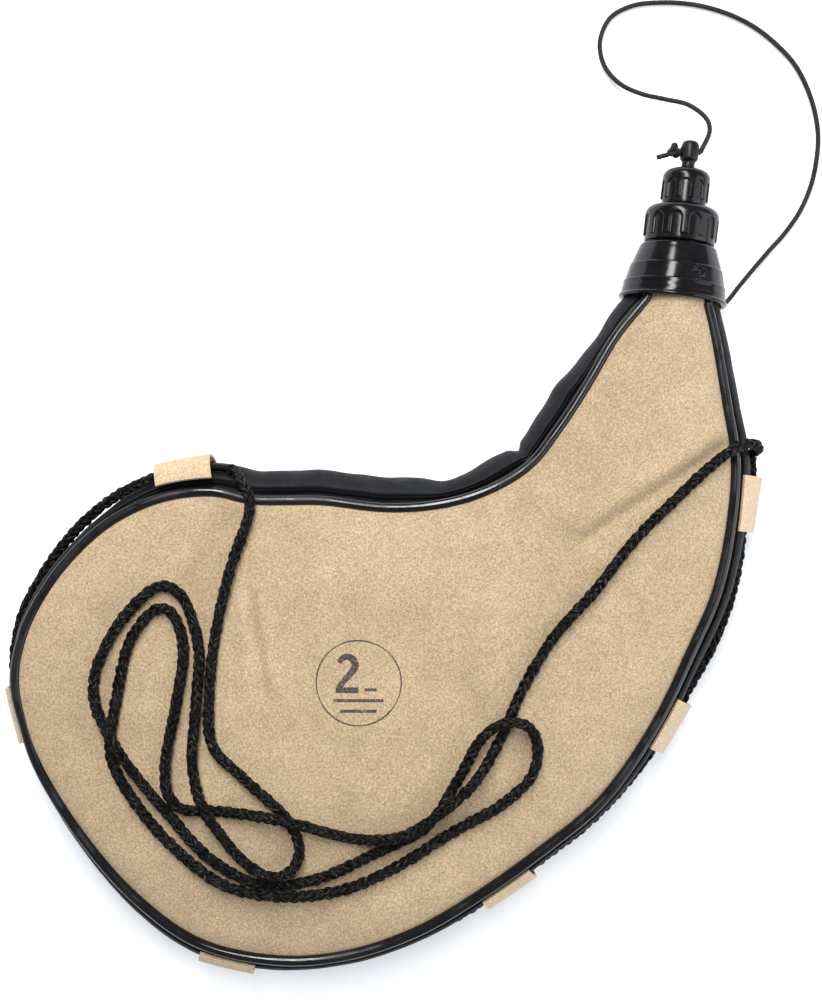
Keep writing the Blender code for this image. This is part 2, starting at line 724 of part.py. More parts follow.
def filler_neck(frame):
    """The threaded tube that the bag is filled through, with a flange under the collar top."""
    top = filler_roof() - GAP - SEAL_THICKNESS - GAP
    flange_top = COLLAR_LENGTH - COLLAR_WALL - GAP
    flange_radius = COLLAR_TOP_RADIUS - COLLAR_WALL - COLLAR_EDGE
    shoulder = flange_top - FILLER_FLANGE_THICKNESS
    profile = [
        (FILLER_BORE_RADIUS, FILLER_NECK_START),
        (FILLER_NECK_RADIUS - FLUTE_DEPTH, FILLER_NECK_START),
        (FILLER_NECK_RADIUS, FILLER_NECK_START + FLUTE_DEPTH),
        (FILLER_NECK_RADIUS, shoulder),
        (flange_radius, shoulder),
        (flange_radius, flange_top),
        (FILLER_NECK_RADIUS, flange_top),
        (FILLER_NECK_RADIUS, top - FLUTE_DEPTH),
        (FILLER_NECK_RADIUS - FLUTE_DEPTH, top),
        (FILLER_BORE_RADIUS, top),
    ]
    return turned("filler_neck", profile, cap_plastic(), frame)


def neck_clamp(frame):
    """The band that pinches the bladder's neck on the filler neck, inside the collar."""
    inner = FILLER_NECK_RADIUS + BLADDER_WALL + 3 * GAP
    start = FILLER_NECK_START + FILLER_FLANGE_THICKNESS
    edge = CLAMP_WALL / 4
    profile = [
        (inner, start),
        (inner + CLAMP_WALL - edge, start),
        (inner + CLAMP_WALL, start + edge),
        (inner + CLAMP_WALL, start + CLAMP_WIDTH - edge),
        (inner + CLAMP_WALL - edge, start + CLAMP_WIDTH),
        (inner, start + CLAMP_WIDTH),
    ]
    return turned("neck_clamp", profile, rubber(), frame)


def washer(name, frame, bore, radius, along):
    profile = [(bore, 0), (radius, 0), (radius, SEAL_THICKNESS), (bore, SEAL_THICKNESS)]
    return turned(name, profile, rubber(), frame, along)


def flute_cutter(name, frame, count, radius, width, start, length):
    """Guide for the grip: round-topped scoops that open on the cap's lower ring."""
    vertices, faces = [], []
    floor = radius - FLUTE_DEPTH
    reach = radius + FLUTE_DEPTH
    half = width / 2
    arch = [(half, 0)]
    arch += [
        (half * math.cos(angle), length - half + half * math.sin(angle))
        for angle in (math.pi * step / 6 for step in range(7))
    ]
    arch += [(-half, 0)]
    for index in range(count):
        turn = 2 * math.pi * (index + 0.5) / count
        out = Vector((math.cos(turn), math.sin(turn), 0))
        side = Vector((-math.sin(turn), math.cos(turn), 0))
        first = len(vertices)
        for depth in (floor, reach):
            for across, up in arch:
                flank = 1 + (depth - floor) / radius
                point = out * depth + side * (across * flank)
                vertices.append((point.x, point.y, start + up))
        size = len(arch)
        faces.append(tuple(first + step for step in range(size)))
        faces.append(tuple(first + size + step for step in range(size - 1, -1, -1)))
        for step in range(size):
            after = (step + 1) % size
            faces.append((first + step, first + size + step, first + size + after, first + after))
    made = mesh_object(name, vertices, faces, cap_plastic())
    made.parent = frame
    made.hide_render = True
    made.display_type = "WIRE"
    return made


def cut(target, tool):
    modifier = target.modifiers.new(tool.name, "BOOLEAN")
    modifier.operation = "DIFFERENCE"
    modifier.object = tool


def filler_cap(frame):
    """The large cap: a fluted skirt over the filler neck and a round-shouldered top."""
    bore = FILLER_NECK_RADIUS + 2 * GAP
    socket = SPOUT_FLANGE_RADIUS + GAP
    waist = SPOUT_RADIUS + GAP
    radius = FILLER_CAP_RADIUS
    length = FILLER_CAP_LENGTH
    roof = length - FILLER_CAP_TOP_WALL
    edge = FLUTE_DEPTH / 2
    profile = [
        (bore, 0),
        (radius - FLUTE_DEPTH - edge, 0),
        (radius - FLUTE_DEPTH, edge),
        (radius - FLUTE_DEPTH, CAP_BASE_RING),
        (radius - edge, CAP_BASE_RING),
        (radius, CAP_BASE_RING + edge),
        *arc(radius - SHOULDER_RADIUS, length - SHOULDER_RADIUS, SHOULDER_RADIUS, 0, 78, 5),
        (SPOUT_CAP_RADIUS, length),
        (waist, length),
        (waist, roof + SPOUT_FLANGE_THICKNESS + GAP),
        (socket, roof + SPOUT_FLANGE_THICKNESS + GAP),
        (socket, roof),
        (bore, roof),
    ]
    cap = turned("filler_cap", profile, cap_plastic(), frame, filler_seat())
    tool = flute_cutter(
        "filler_flutes", frame, FILLER_FLUTES, radius, FILLER_FLUTE_WIDTH,
        filler_seat() + CAP_BASE_RING / 2, FILLER_FLUTE_LENGTH + CAP_BASE_RING / 2,
    )
    cut(cap, tool)
    return cap


def spout_start():
    return filler_roof()


def spout_cap_seat():
    return filler_seat() + FILLER_CAP_LENGTH + SPOUT_CAP_STANDOFF


def spout(frame):
    """The drinking spout: a flanged tube held in the filler cap, with a fine bore."""
    top = SPOUT_FLANGE_THICKNESS + FILLER_CAP_TOP_WALL + SPOUT_LENGTH
    edge = FLUTE_DEPTH
    profile = [
        (SPOUT_BORE_RADIUS, 0),
        (SPOUT_FLANGE_RADIUS, 0),
        (SPOUT_FLANGE_RADIUS, SPOUT_FLANGE_THICKNESS),
        (SPOUT_RADIUS, SPOUT_FLANGE_THICKNESS),
        (SPOUT_RADIUS, top - edge),
        (SPOUT_RADIUS - edge, top),
        (SPOUT_BORE_RADIUS / 2, top),
        (SPOUT_BORE_RADIUS / 2, top - SPOUT_RADIUS),
        (SPOUT_BORE_RADIUS, top - SPOUT_RADIUS - SPOUT_BORE_RADIUS),
    ]
    return turned("spout", profile, cap_plastic(), frame, spout_start(), sides=24)


def spout_tip():
    return spout_start() + SPOUT_FLANGE_THICKNESS + FILLER_CAP_TOP_WALL + SPOUT_LENGTH


def spout_cap(frame):
    """The small cap: fluted, domed, with a drilled knob for the tether on top."""
    bore = SPOUT_RADIUS + 2 * GAP
    radius = SPOUT_CAP_RADIUS
    length = SPOUT_CAP_LENGTH
    seat = spout_cap_seat()
    roof = spout_tip() + GAP + SEAL_THICKNESS + GAP - seat
    edge = FLUTE_DEPTH / 2
    neck_top = length + KNOB_NECK_LENGTH
    knob_top = neck_top + KNOB_LENGTH
    dome = KNOB_RADIUS / 3
    profile = [
        (0, roof),
        (bore, roof),
        (bore, 0),
        (radius - FLUTE_DEPTH - edge, 0),
        (radius - FLUTE_DEPTH, edge),
        (radius - FLUTE_DEPTH, CAP_BASE_RING),
        (radius - edge, CAP_BASE_RING),
        (radius, CAP_BASE_RING + edge),
        *arc(radius - SHOULDER_RADIUS, length - SHOULDER_RADIUS, SHOULDER_RADIUS, 0, 72, 4),
        (KNOB_NECK_RADIUS + FLUTE_DEPTH, length + FLUTE_DEPTH / 2),
        (KNOB_NECK_RADIUS, length + 2 * FLUTE_DEPTH),
        (KNOB_NECK_RADIUS, neck_top),
        (KNOB_RADIUS, neck_top + edge),
        (KNOB_RADIUS, knob_top - dome),
        (KNOB_RADIUS - dome / 2, knob_top - dome / 3),
        (KNOB_RADIUS / 2, knob_top - dome / 12),
        (0, knob_top),
    ]
    cap = turned("spout_cap", profile, cap_plastic(), frame, seat, sides=30)
    tool = flute_cutter(
        "spout_flutes", frame, SPOUT_FLUTES, radius, SPOUT_FLUTE_WIDTH,
        seat + CAP_BASE_RING / 2, SPOUT_FLUTE_LENGTH + CAP_BASE_RING / 2,
    )
    cut(cap, tool)
    cut(cap, tether_hole(frame, seat + neck_top + KNOB_LENGTH / 2))
    return cap


def tether_bore():
    return TETHER_DIAMETER / 2 + GAP


def tether_hole(frame, along):
    """Guide for the hole across the knob."""
    sides = 12
    reach = 2 * KNOB_RADIUS
    vertices = []
    for end in (-reach, reach):
        for step in range(sides):
            angle = 2 * math.pi * step / sides
            radius = tether_bore() / math.cos(math.pi / sides)
            vertices.append((end, radius * math.cos(angle), along + radius * math.sin(angle)))
    faces = [tuple(range(sides)), tuple(range(2 * sides - 1, sides - 1, -1))]
    for step in range(sides):
        after = (step + 1) % sides
        faces.append((step, sides + step, sides + after, after))
    made = mesh_object("tether_hole", vertices, faces, cap_plastic())
    made.parent = frame
    made.hide_render = True
    made.display_type = "WIRE"
    return made


def knob_middle():
    """Centre of the knob's hole in the world."""
    along = spout_cap_seat() + SPOUT_CAP_LENGTH + KNOB_NECK_LENGTH + KNOB_LENGTH / 2
    return neck_point(0, along) + Vector((0, 0, neck_height()))


def tether_knot():
    """The stopper knot: the tether's end passes through the knob, turns on itself and stops."""
    thick = TETHER_DIAMETER
    across, along, up = neck_across(), neck_axis(), Vector((0, 0, 1))
    ball = knob_middle() - across * (KNOB_RADIUS + GAP + KNOT_REACH_SHARE * thick)
    points = [
        knob_middle() + across * (KNOB_RADIUS - GAP),
        ball + across * (KNOT_ENTRY_SHARE * thick),
    ]
    for step in range(KNOT_COIL_STEPS):
        angle = KNOT_COIL_START + KNOT_COIL_TURN * step
        sway = KNOT_SWAY_SHARE - KNOT_SWAY_STEP_SHARE * step
        circle = along * math.cos(angle) + up * math.sin(angle)
        points.append(ball + (across * sway + circle * KNOT_COIL_SHARE) * thick)
    for across_share, along_share in KNOT_TAIL_SHARES:
        points.append(ball + (across * across_share + along * along_share) * thick)
    return tube_object("tether_knot", points, thick / 2, cord_yarn())


def between(ring, run, length):
    """The outline's values at a length along it, straight between stations."""
    slot = min(max(bisect.bisect_right(run, length) - 1, 0), len(ring) - 2)
    low, high = ring[slot], ring[slot + 1]
    part = (length - run[slot]) / (run[slot + 1] - run[slot])

    def mix(a, b):
        return a + (b - a) * part

    return Station(
        mix(low.point, high.point),
        mix(low.outward, high.outward),
        mix(low.top, high.top),
        mix(low.bottom, high.bottom),
        mix(low.bulge, high.bulge),
        mix(low.tuck, high.tuck),
    )


def gusset_spot(station, angle, lift):
    """A place over the gusset's belly, lifted square off its surface."""
    half = station.half_height()
    swell, rise = math.cos(angle), math.sin(angle)
    slope = station.bulge * rise - station.tuck / 2 * swell
    square = Vector((half * swell, slope)).normalized()
    offset = station.belly(angle) + square.x * lift
    return station.at(offset, station.middle() + half * rise + square.y * lift)


def sling_seat(length, total):
    return math.radians(blend_table(SLING_SEATS, length / total))


def tab(name, ring, run, middle):
    """A leather loop over the sling, from under one piped seam to the other."""
    lengths = [
        middle + TAB_WIDTH * (step / (TAB_SLICES - 1) - 0.5) for step in range(TAB_SLICES)
    ]
    lengths = sorted(lengths + [x for x in run if lengths[0] < x < lengths[-1]])
    upper, lower = [], []
    for length in lengths:
        station = between(ring, run, length)
        half = station.half_height()
        outside, inside = [], []
        for step in range(TAB_ARC_COUNT + 1):
            angle = TAB_REACH_ANGLE * (1 - 2 * step / TAB_ARC_COUNT)
            from_sling = (angle - sling_seat(length, run[-1])) * half / TAB_DRAPE
            rise = (SLING_DIAMETER + CORD_CLEARANCE) * math.exp(-from_sling ** 2)
            lift = CORD_CLEARANCE + rise
            inside.append(gusset_spot(station, angle, lift))
            outside.append(gusset_spot(station, angle, lift + TAB_THICKNESS))
        upper.append(outside)
        lower.append(inside)
    return sheet_object(name, upper, lower, tab_suede())


def sling_held(ring, run):
    """The stretch that the tabs hold, from the upper right tab round to the upper left one."""
    places = dict(TAB_SHARES)
    total = run[-1]
    past_tab = TAB_WIDTH / 2 + SLING_DIAMETER / 2
    lift = 1.5 * GAP + SLING_DIAMETER / 2
    first = places["tab_upper_left"] * total - past_tab
    last = places["tab_upper_right"] * total + past_tab
    lengths = [first] + [x for x in run if first < x < last] + [last]
    result = []
    for length in lengths:
        station = between(ring, run, length)
        result.append(gusset_spot(station, sling_seat(length, total), lift))
    return result


def ruler_point(u, v, height):
    """A place seen at a pixel, at a known height above the resting surface."""
    scale = PIXEL * (1 - (height - RULER_HEIGHT) / VIEW_HEIGHT)
    return Vector((VIEW_X + (u - VIEW_U) * scale, VIEW_Y - (v - VIEW_V) * scale, height))


def panel_surface(panel):
    mesh = panel.data
    corners = [vertex.co for vertex in mesh.vertices]
    return BVHTree.FromPolygons(corners, [tuple(face.vertices) for face in mesh.polygons])


def on_panel(surface, u, v, strands):
    """A sling point lying on the front panel, over a number of strands underneath."""
    layer = SLING_DIAMETER + CORD_CLEARANCE
    height = FRONT_SEAM_HEIGHT + FRONT_CROWN
    for _ in range(3):
        guess = ruler_point(u, v, height)
        hit = surface.ray_cast(Vector((guess.x, guess.y, VIEW_HEIGHT)), Vector((0, 0, -1)))[0]
        ground = hit.z if hit else FRONT_SEAM_HEIGHT + PIPING_RADIUS
        height = ground + CORD_CLEARANCE + SLING_DIAMETER / 2 + strands * layer
    return ruler_point(u, v, height)


def steady_steps(curve, diameter):
    """Cord points: a step every few diameters, and closer where the cord bends."""
    kept = [curve[0]]
    turned_by = 0.0
    for before, here, after in zip(curve, curve[1:], curve[2:]):
        turned_by += (here - before).angle(after - here)
        far = (here - kept[-1]).length >= diameter * CORD_STEP_SHARE
        bent = turned_by >= CORD_TURN and (here - kept[-1]).length >= diameter
        if far or bent:
            kept.append(here)
            turned_by = 0.0
    if (kept[-1] - curve[-1]).length < diameter:
        kept.pop()
    kept.append(curve[-1])
    return kept


def sling_free(surface, held):
    """The loose stretch, laid over the front panel in loops."""
    leave = (held[0] - held[1]).normalized()
    arrive = (held[-1] - held[-2]).normalized()
    route = [held[0] + leave * SLING_DIAMETER]
    route += [ruler_point(u, v, height * MM) for u, v, height in SLING_START]
    route += [on_panel(surface, u, v, strands) for u, v, strands in SLING_ON_PANEL]
    route += [ruler_point(u, v, height * MM) for u, v, height in SLING_FINISH]
    route.append(held[-1] + arrive * SLING_DIAMETER)
    steps = steady_steps(smooth_curve(route, samples=8), SLING_DIAMETER)
    return [held[0] + leave * GAP] + steps + [held[-1] + arrive * GAP]


def tether_route():
    start = knob_middle() + neck_across() * (KNOB_RADIUS + CORD_CLEARANCE)
    route = [start] + [ruler_point(u, v, height * MM) for u, v, height in TETHER_ROUTE]
    reach = COLLAR_RIM_RADIUS + CORD_CLEARANCE + TETHER_DIAMETER / 2
    end = neck_point(reach * math.cos(TETHER_SEAT_ANGLE), COLLAR_WALL)
    end.z = neck_height() + reach * math.sin(TETHER_SEAT_ANGLE)
    route.append(end)
    return steady_steps(smooth_curve(route, samples=8), TETHER_DIAMETER)


def least_gap_to_itself(points, diameter):
    """Surface gap between stretches of a cord that are not next to each other."""
    run = lengths_along(points)
    fine = [at_length(points, run, run[-1] * step / 900) for step in range(901)]
    spacing = run[-1] / 900
    skip = int(3 * diameter / spacing)
    least = min(
        (fine[a] - fine[b]).length
        for a in range(len(fine))
        for b in range(a + skip, len(fine))
    )
    return least - diameter


def build():
    clear_scene()
    ring = stations()
    run = lengths_along([station.point for station in ring])
    panel = front_panel(ring)
    back_panel(ring)
    gusset(ring)
    piping("front_piping", ring, True)
    piping("back_piping", ring, False)
    bladder(ring)

    frame = neck_frame()
    neck_collar(frame)
    filler_neck(frame)
    neck_clamp(frame)
    filler_cap(frame)
    seal_place = filler_roof() - GAP - SEAL_THICKNESS
    washer("filler_seal", frame, FILLER_BORE_RADIUS, FILLER_NECK_RADIUS, seal_place)
    spout(frame)
    washer("spout_seal", frame, SPOUT_BORE_RADIUS, SPOUT_RADIUS, spout_tip() + GAP)
    spout_cap(frame)
    tether_knot()

    for name, share in TAB_SHARES:
        tab(name, ring, run, share * run[-1])

    held = sling_held(ring, run)
    tube_object("sling_held", held, SLING_DIAMETER / 2, cord_yarn())
    loose = sling_free(panel_surface(panel), held)
    tube_object("sling_loose", loose, SLING_DIAMETER / 2, cord_yarn())
    tether = tether_route()
    tube_object("tether_cord", tether, TETHER_DIAMETER / 2, cord_yarn())

    for name, points, diameter in (
        ("sling_held", held, SLING_DIAMETER),
        ("sling_loose", loose, SLING_DIAMETER),
        ("tether_cord", tether, TETHER_DIAMETER),
    ):
        length = lengths_along(points)[-1]
        gap = least_gap_to_itself(points, diameter)
        print(f"{name}: {len(points)} points, {length / MM:.0f} mm long, least gap {gap / MM:.2f} mm")


build()
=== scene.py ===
import math

import bmesh
import bpy
import numpy as np
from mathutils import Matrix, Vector, noise
from mathutils.bvhtree import BVHTree


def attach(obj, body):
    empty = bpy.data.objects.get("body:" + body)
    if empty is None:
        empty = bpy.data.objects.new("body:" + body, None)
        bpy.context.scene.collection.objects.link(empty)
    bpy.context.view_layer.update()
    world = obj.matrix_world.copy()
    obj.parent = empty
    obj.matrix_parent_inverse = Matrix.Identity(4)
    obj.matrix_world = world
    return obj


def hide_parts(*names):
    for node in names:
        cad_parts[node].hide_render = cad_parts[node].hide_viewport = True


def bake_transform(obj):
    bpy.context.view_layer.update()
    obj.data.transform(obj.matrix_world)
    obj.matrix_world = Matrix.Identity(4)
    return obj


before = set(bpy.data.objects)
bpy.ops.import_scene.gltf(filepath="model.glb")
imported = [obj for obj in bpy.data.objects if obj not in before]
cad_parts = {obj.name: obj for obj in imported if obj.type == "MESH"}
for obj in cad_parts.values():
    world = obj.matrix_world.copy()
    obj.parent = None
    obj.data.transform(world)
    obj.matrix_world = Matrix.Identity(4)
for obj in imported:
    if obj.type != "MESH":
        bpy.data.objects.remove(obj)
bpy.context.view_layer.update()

MM = 0.001
GAP = 0.3 * MM

# Bag body, as in the CAD source
PANEL_WIDTH = 316 * MM
PANEL_LENGTH = 291 * MM
PANEL_THICKNESS = 1.6 * MM
FRONT_SEAM_HEIGHT = 40 * MM
BACK_SEAM_HEIGHT = 8.5 * MM
FRONT_CROWN = 10 * MM
BACK_CROWN = 20 * MM
END_BOW = 1.6 * MM
GUSSET_BULGE = 11 * MM
GUSSET_THICKNESS = 1.2 * MM
BACK_SEAM_TUCK = 7 * MM
PIPING_RADIUS = 2.3 * MM
INNER_RAIL_SHARES = (
    (-0.086, -0.057), (-0.130, -0.137), (-0.168, -0.199), (-0.207, -0.252), (-0.264, -0.290),
    (-0.328, -0.311), (-0.405, -0.317), (-0.498, -0.306), (-0.553, -0.306), (-0.594, -0.305),
    (-0.647, -0.293), (-0.720, -0.302), (-0.795, -0.341), (-0.862, -0.412), (-0.907, -0.494),
    (-0.919, -0.540),
)
OUTER_RAIL_SHARES = (
    (0.052, -0.060), (0.068, -0.164), (0.079, -0.246), (0.073, -0.341), (0.053, -0.445),
    (0.018, -0.533), (-0.032, -0.645), (-0.105, -0.758), (-0.186, -0.832), (-0.279, -0.904),
    (-0.363, -0.957), (-0.457, -0.992), (-0.553, -1.001), (-0.666, -0.975), (-0.756, -0.906),
    (-0.836, -0.805), (-0.893, -0.702), (-0.916, -0.623),
)
BULGE_SHARES = (
    (0.0, 0.80), (0.11, 0.85), (0.17, 1.25), (0.25, 1.20), (0.31, 0.68), (0.42, 0.68),
    (0.55, 1.0), (0.61, 0.88), (0.68, 0.92), (0.74, 0.86), (0.79, 0.92), (0.84, 1.03),
    (0.93, 1.0), (1.0, 1.0),
)
TUCK_SHARES = ((0.0, 0.0), (0.25, 0.0), (0.33, 0.8), (0.42, 1.0), (0.82, 1.0), (0.93, 0.5), (1.0, 0.0))
SLING_SEATS = (
    (0.23, 48), (0.27, 47), (0.35, 0), (0.42, -30), (0.60, -40), (0.66, -18), (0.76, -14),
    (0.80, -8), (0.84, 2), (0.89, -20), (0.95, 4),
)
RIB_COUNT = 25
RIB_STEPS = 10
COLUMNS = 97

# Neck, as in the CAD source
NECK_BASE_X = 130.25 * MM
NECK_BASE_Y = 113.53 * MM
NECK_TILT = math.radians(6.6)
COLLAR_RIM_RADIUS = 24.2 * MM
NECK_HEIGHT = COLLAR_RIM_RADIUS + 0.4 * MM
COLLAR_WALL = 1.6 * MM
SKIRT_BORE_RADIUS = 21.9 * MM
THROAT_INSERT = 3.2 * MM
THROAT_CORNER_ANGLE = math.radians(46)
THROAT_RADIUS = SKIRT_BORE_RADIUS - GAP - PIPING_RADIUS
THROAT_HALF_WIDTH = THROAT_RADIUS * math.cos(THROAT_CORNER_ANGLE)
THROAT_HALF_HEIGHT = THROAT_RADIUS * math.sin(THROAT_CORNER_ANGLE)
NECK_AXIS = np.array([math.sin(NECK_TILT), math.cos(NECK_TILT), 0.0])
NECK_ACROSS = np.array([math.cos(NECK_TILT), -math.sin(NECK_TILT), 0.0])
UP = np.array([0.0, 0.0, 1.0])

# Turned pieces of the neck: radii, and places along its axis from the collar's mouth, in millimetres
FILLER_SEAT = 26.4
FILLER_CAP_RADIUS = 16.5
FILLER_CAP_LENGTH = 16.4
FILLER_ROOF = 40.4
FILLER_NECK_RADIUS = 12.0
FILLER_NECK_TOP = 38.4
SPOUT_CAP_SEAT = 43.7
SPOUT_CAP_RADIUS = 10.6
SPOUT_CAP_LENGTH = 16.2
SPOUT_RADIUS = 5.6
SPOUT_TIP = 56.6
FLUTE_DEPTH = 0.8
CAP_BASE_RING = 2.2
SHOULDER_RADIUS = 4.0
KNOB_BASE = SPOUT_CAP_SEAT + SPOUT_CAP_LENGTH
KNOB_DRILL_PLACE = KNOB_BASE + 8.7
# Longest step of the collar's profile, a little under a third of its flat face
COLLAR_STEP = 1.19

# Cords and the loops that hold the sling
SLING_DIAMETER = 5.0 * MM
TETHER_DIAMETER = 2.2 * MM
CORD_CLEARANCE = 0.6 * MM
TAB_WIDTH = 25 * MM
TAB_THICKNESS = 1.4 * MM
TAB_REACH_ANGLE = math.radians(70)
TAB_DRAPE = 6.2 * MM
TAB_ROWS = 17
TAB_STEPS = 57
TAB_SHARES = (
    ("tab_upper_left", 0.2635), ("tab_far_left", 0.4050), ("tab_bottom", 0.5565),
    ("tab_lower_right", 0.6910), ("tab_right", 0.7955), ("tab_upper_right", 0.9030),
)

# Photo ruler: the camera stands straight above this place
PIXEL = 0.45 * MM
VIEW_U = 411
VIEW_V = 500
VIEW_X = 12.65 * MM
VIEW_Y = 24.73 * MM
VIEW_HEIGHT = 650 * MM
RULER_HEIGHT = 25 * MM
PHOTO_HEIGHT = 1000
SENSOR = 36


def metres(rows):
    """Rows of places in millimetres, turned into metres."""
    return np.round(np.array(rows) * MM, 4).tolist()


# Cord routes, as in the CAD source
SLING_HELD = metres((
    (-70.7, 38.8, 36.1), (-70.8, 38.9, 36.1), (-88.6, 38.1, 36), (-105.4, 32.9, 35.2),
    (-120.7, 25, 32.7), (-134, 14.5, 29.1), (-145.3, 2.3, 25.7), (-154.7, -11.3, 23.8),
    (-162.4, -26.1, 23.1), (-166.3, -41.8, 21), (-166.7, -44.6, 20.6), (-167, -49.5, 19.9),
    (-166.7, -56, 18.9), (-165.6, -62.3, 18), (-164.2, -66.9, 17.4), (-163.4, -69.1, 17.2),
    (-155.2, -92.6, 16.1), (-143.1, -114.7, 15.9), (-128.7, -135.2, 15.5), (-112, -154, 14.9),
    (-91.9, -170, 14.4), (-67.9, -179.5, 14), (-42.4, -182.2, 13.9), (-17.2, -179.9, 14.1),
    (7.9, -174.9, 16.8), (31.5, -165.1, 18.8), (52.8, -151.7, 19), (72.9, -137, 19.4),
    (92.8, -121.4, 19.7), (110.6, -102.9, 19.9), (125.6, -82, 21.1), (138.2, -60.1, 22.2),
    (149.8, -37.8, 24.1), (158.7, -13.6, 21), (163.2, 12, 18.5), (166.8, 38, 21.3), (166.7, 39, 21.5),
))
SLING_LOOSE = metres((
    (-70.4, 38.8, 36.1), (-65.8, 37.7, 36.2), (-61.6, 32.7, 43.5), (-58.1, 27, 46), (-57.9, 19.1, 46.3),
    (-65.7, -5.4, 49.4), (-71.3, -29.8, 50.7), (-74.3, -55.8, 51.3), (-73.1, -81.1, 51.7),
    (-59.5, -95.7, 51.4), (-40.6, -113.7, 51.1), (-35.6, -126, 50.3), (-37.5, -133.2, 51.7),
    (-41.7, -136.7, 53.2), (-48.3, -137.4, 53.9), (-59.6, -131.3, 51.6), (-70.4, -117.6, 54.2),
    (-76.4, -106.8, 58.1), (-81.5, -90.1, 53.3), (-80.1, -63.7, 53), (-79.3, -37.9, 51.3),
    (-86.6, -17, 49.3), (-92.9, -12.8, 48.7), (-98, -13.2, 48.5), (-113.8, -28.3, 48.8),
    (-124.5, -51.1, 49), (-124, -62.8, 51.1), (-115.6, -78.2, 56.4), (-107.7, -91.9, 52.5),
    (-92.1, -111.6, 49.8), (-74, -131, 49.2), (-51.6, -142.5, 48.6), (-27.3, -139.3, 49),
    (-3, -128.3, 49.8), (19.3, -116.7, 50.2), (33.2, -95.6, 51.8), (43.4, -76.7, 57.5),
    (52, -70.7, 59.5), (57.3, -70.2, 59), (63.5, -73.1, 56.2), (67.3, -81.5, 52.1), (64.9, -94.8, 49.8),
    (51.9, -107.3, 49.3), (29.6, -119.8, 49.3), (8.3, -133.3, 48.9), (-15.6, -144, 48.9),
    (-40.2, -145.9, 54), (-66.3, -141.9, 53.1), (-87.3, -128.4, 49.3), (-105.2, -108.7, 49.2),
    (-117.3, -86.6, 49.2), (-114.7, -60.4, 49.8), (-108.8, -35.9, 49.6), (-99.4, -23.6, 49.3),
    (-94.1, -22.2, 49.4), (-89.9, -25.5, 49.9), (-85.9, -39, 50.6), (-89, -63.9, 51.1),
    (-93.6, -88.8, 51), (-92.7, -99.8, 53.4), (-90.3, -104.7, 53.7), (-85.8, -108.9, 51.3),
    (-69.9, -110, 50.3), (-46.6, -111.8, 57.2), (-35.9, -114.3, 56.8), (-12, -121.6, 51),
    (5.7, -120.5, 55.7), (18.8, -114.2, 56.2), (38.5, -97.8, 57.2), (50.6, -79.6, 52.1),
    (61, -56.2, 52.9), (74.3, -34.1, 53.5), (91.9, -14.3, 53.6), (108.6, 7.1, 53.5),
    (126.7, 25.2, 53.5), (145.4, 41.8, 49.5), (156.8, 48.5, 45.5), (163.3, 49.1, 40.7),
    (166.4, 47.8, 35.5), (166.2, 44, 22.3), (166.7, 39.3, 21.6),
))
TETHER = metres((
    (142.9, 181.1, 24.6), (147.5, 191.3, 22.8), (146.6, 197.2, 20.8), (139.3, 204.8, 16.5),
    (129, 208.8, 11.8), (118.6, 212.4, 8.1), (109.2, 218.3, 4.5), (102.5, 227.8, 1.8),
    (100.8, 238.8, 1.4), (105.5, 249.5, 1.4), (115.9, 255.2, 1.4), (128.2, 256.7, 1.4),
    (140.2, 256.3, 1.4), (151, 254.4, 1.4), (163, 250.4, 1.4), (173.8, 244.6, 1.4), (183.8, 236.5, 1.4),
    (191.6, 227.8, 1.4), (197.1, 217.6, 1.4), (200.8, 206.5, 1.4), (202.5, 194.9, 1.4),
    (201.8, 183.8, 1.4), (199.1, 171.3, 1.4), (194.1, 159.6, 1.4), (187.2, 149.5, 1.5),
    (179.3, 140.7, 2.2), (171.6, 131.9, 3.9), (164.4, 123.5, 6.5), (157.5, 115.6, 10.2),
    (152.3, 112.6, 10.9),
))


def camera():
    data = bpy.data.cameras.new("camera")
    data.sensor_fit = "VERTICAL"
    data.sensor_height = SENSOR
    data.lens = SENSOR * VIEW_HEIGHT / (PHOTO_HEIGHT * PIXEL)
    data.clip_start = 0.01
    made = bpy.data.objects.new("camera", data)
    made.location = (VIEW_X, VIEW_Y, RULER_HEIGHT + VIEW_HEIGHT)
    bpy.context.scene.collection.objects.link(made)
    bpy.context.scene.camera = made


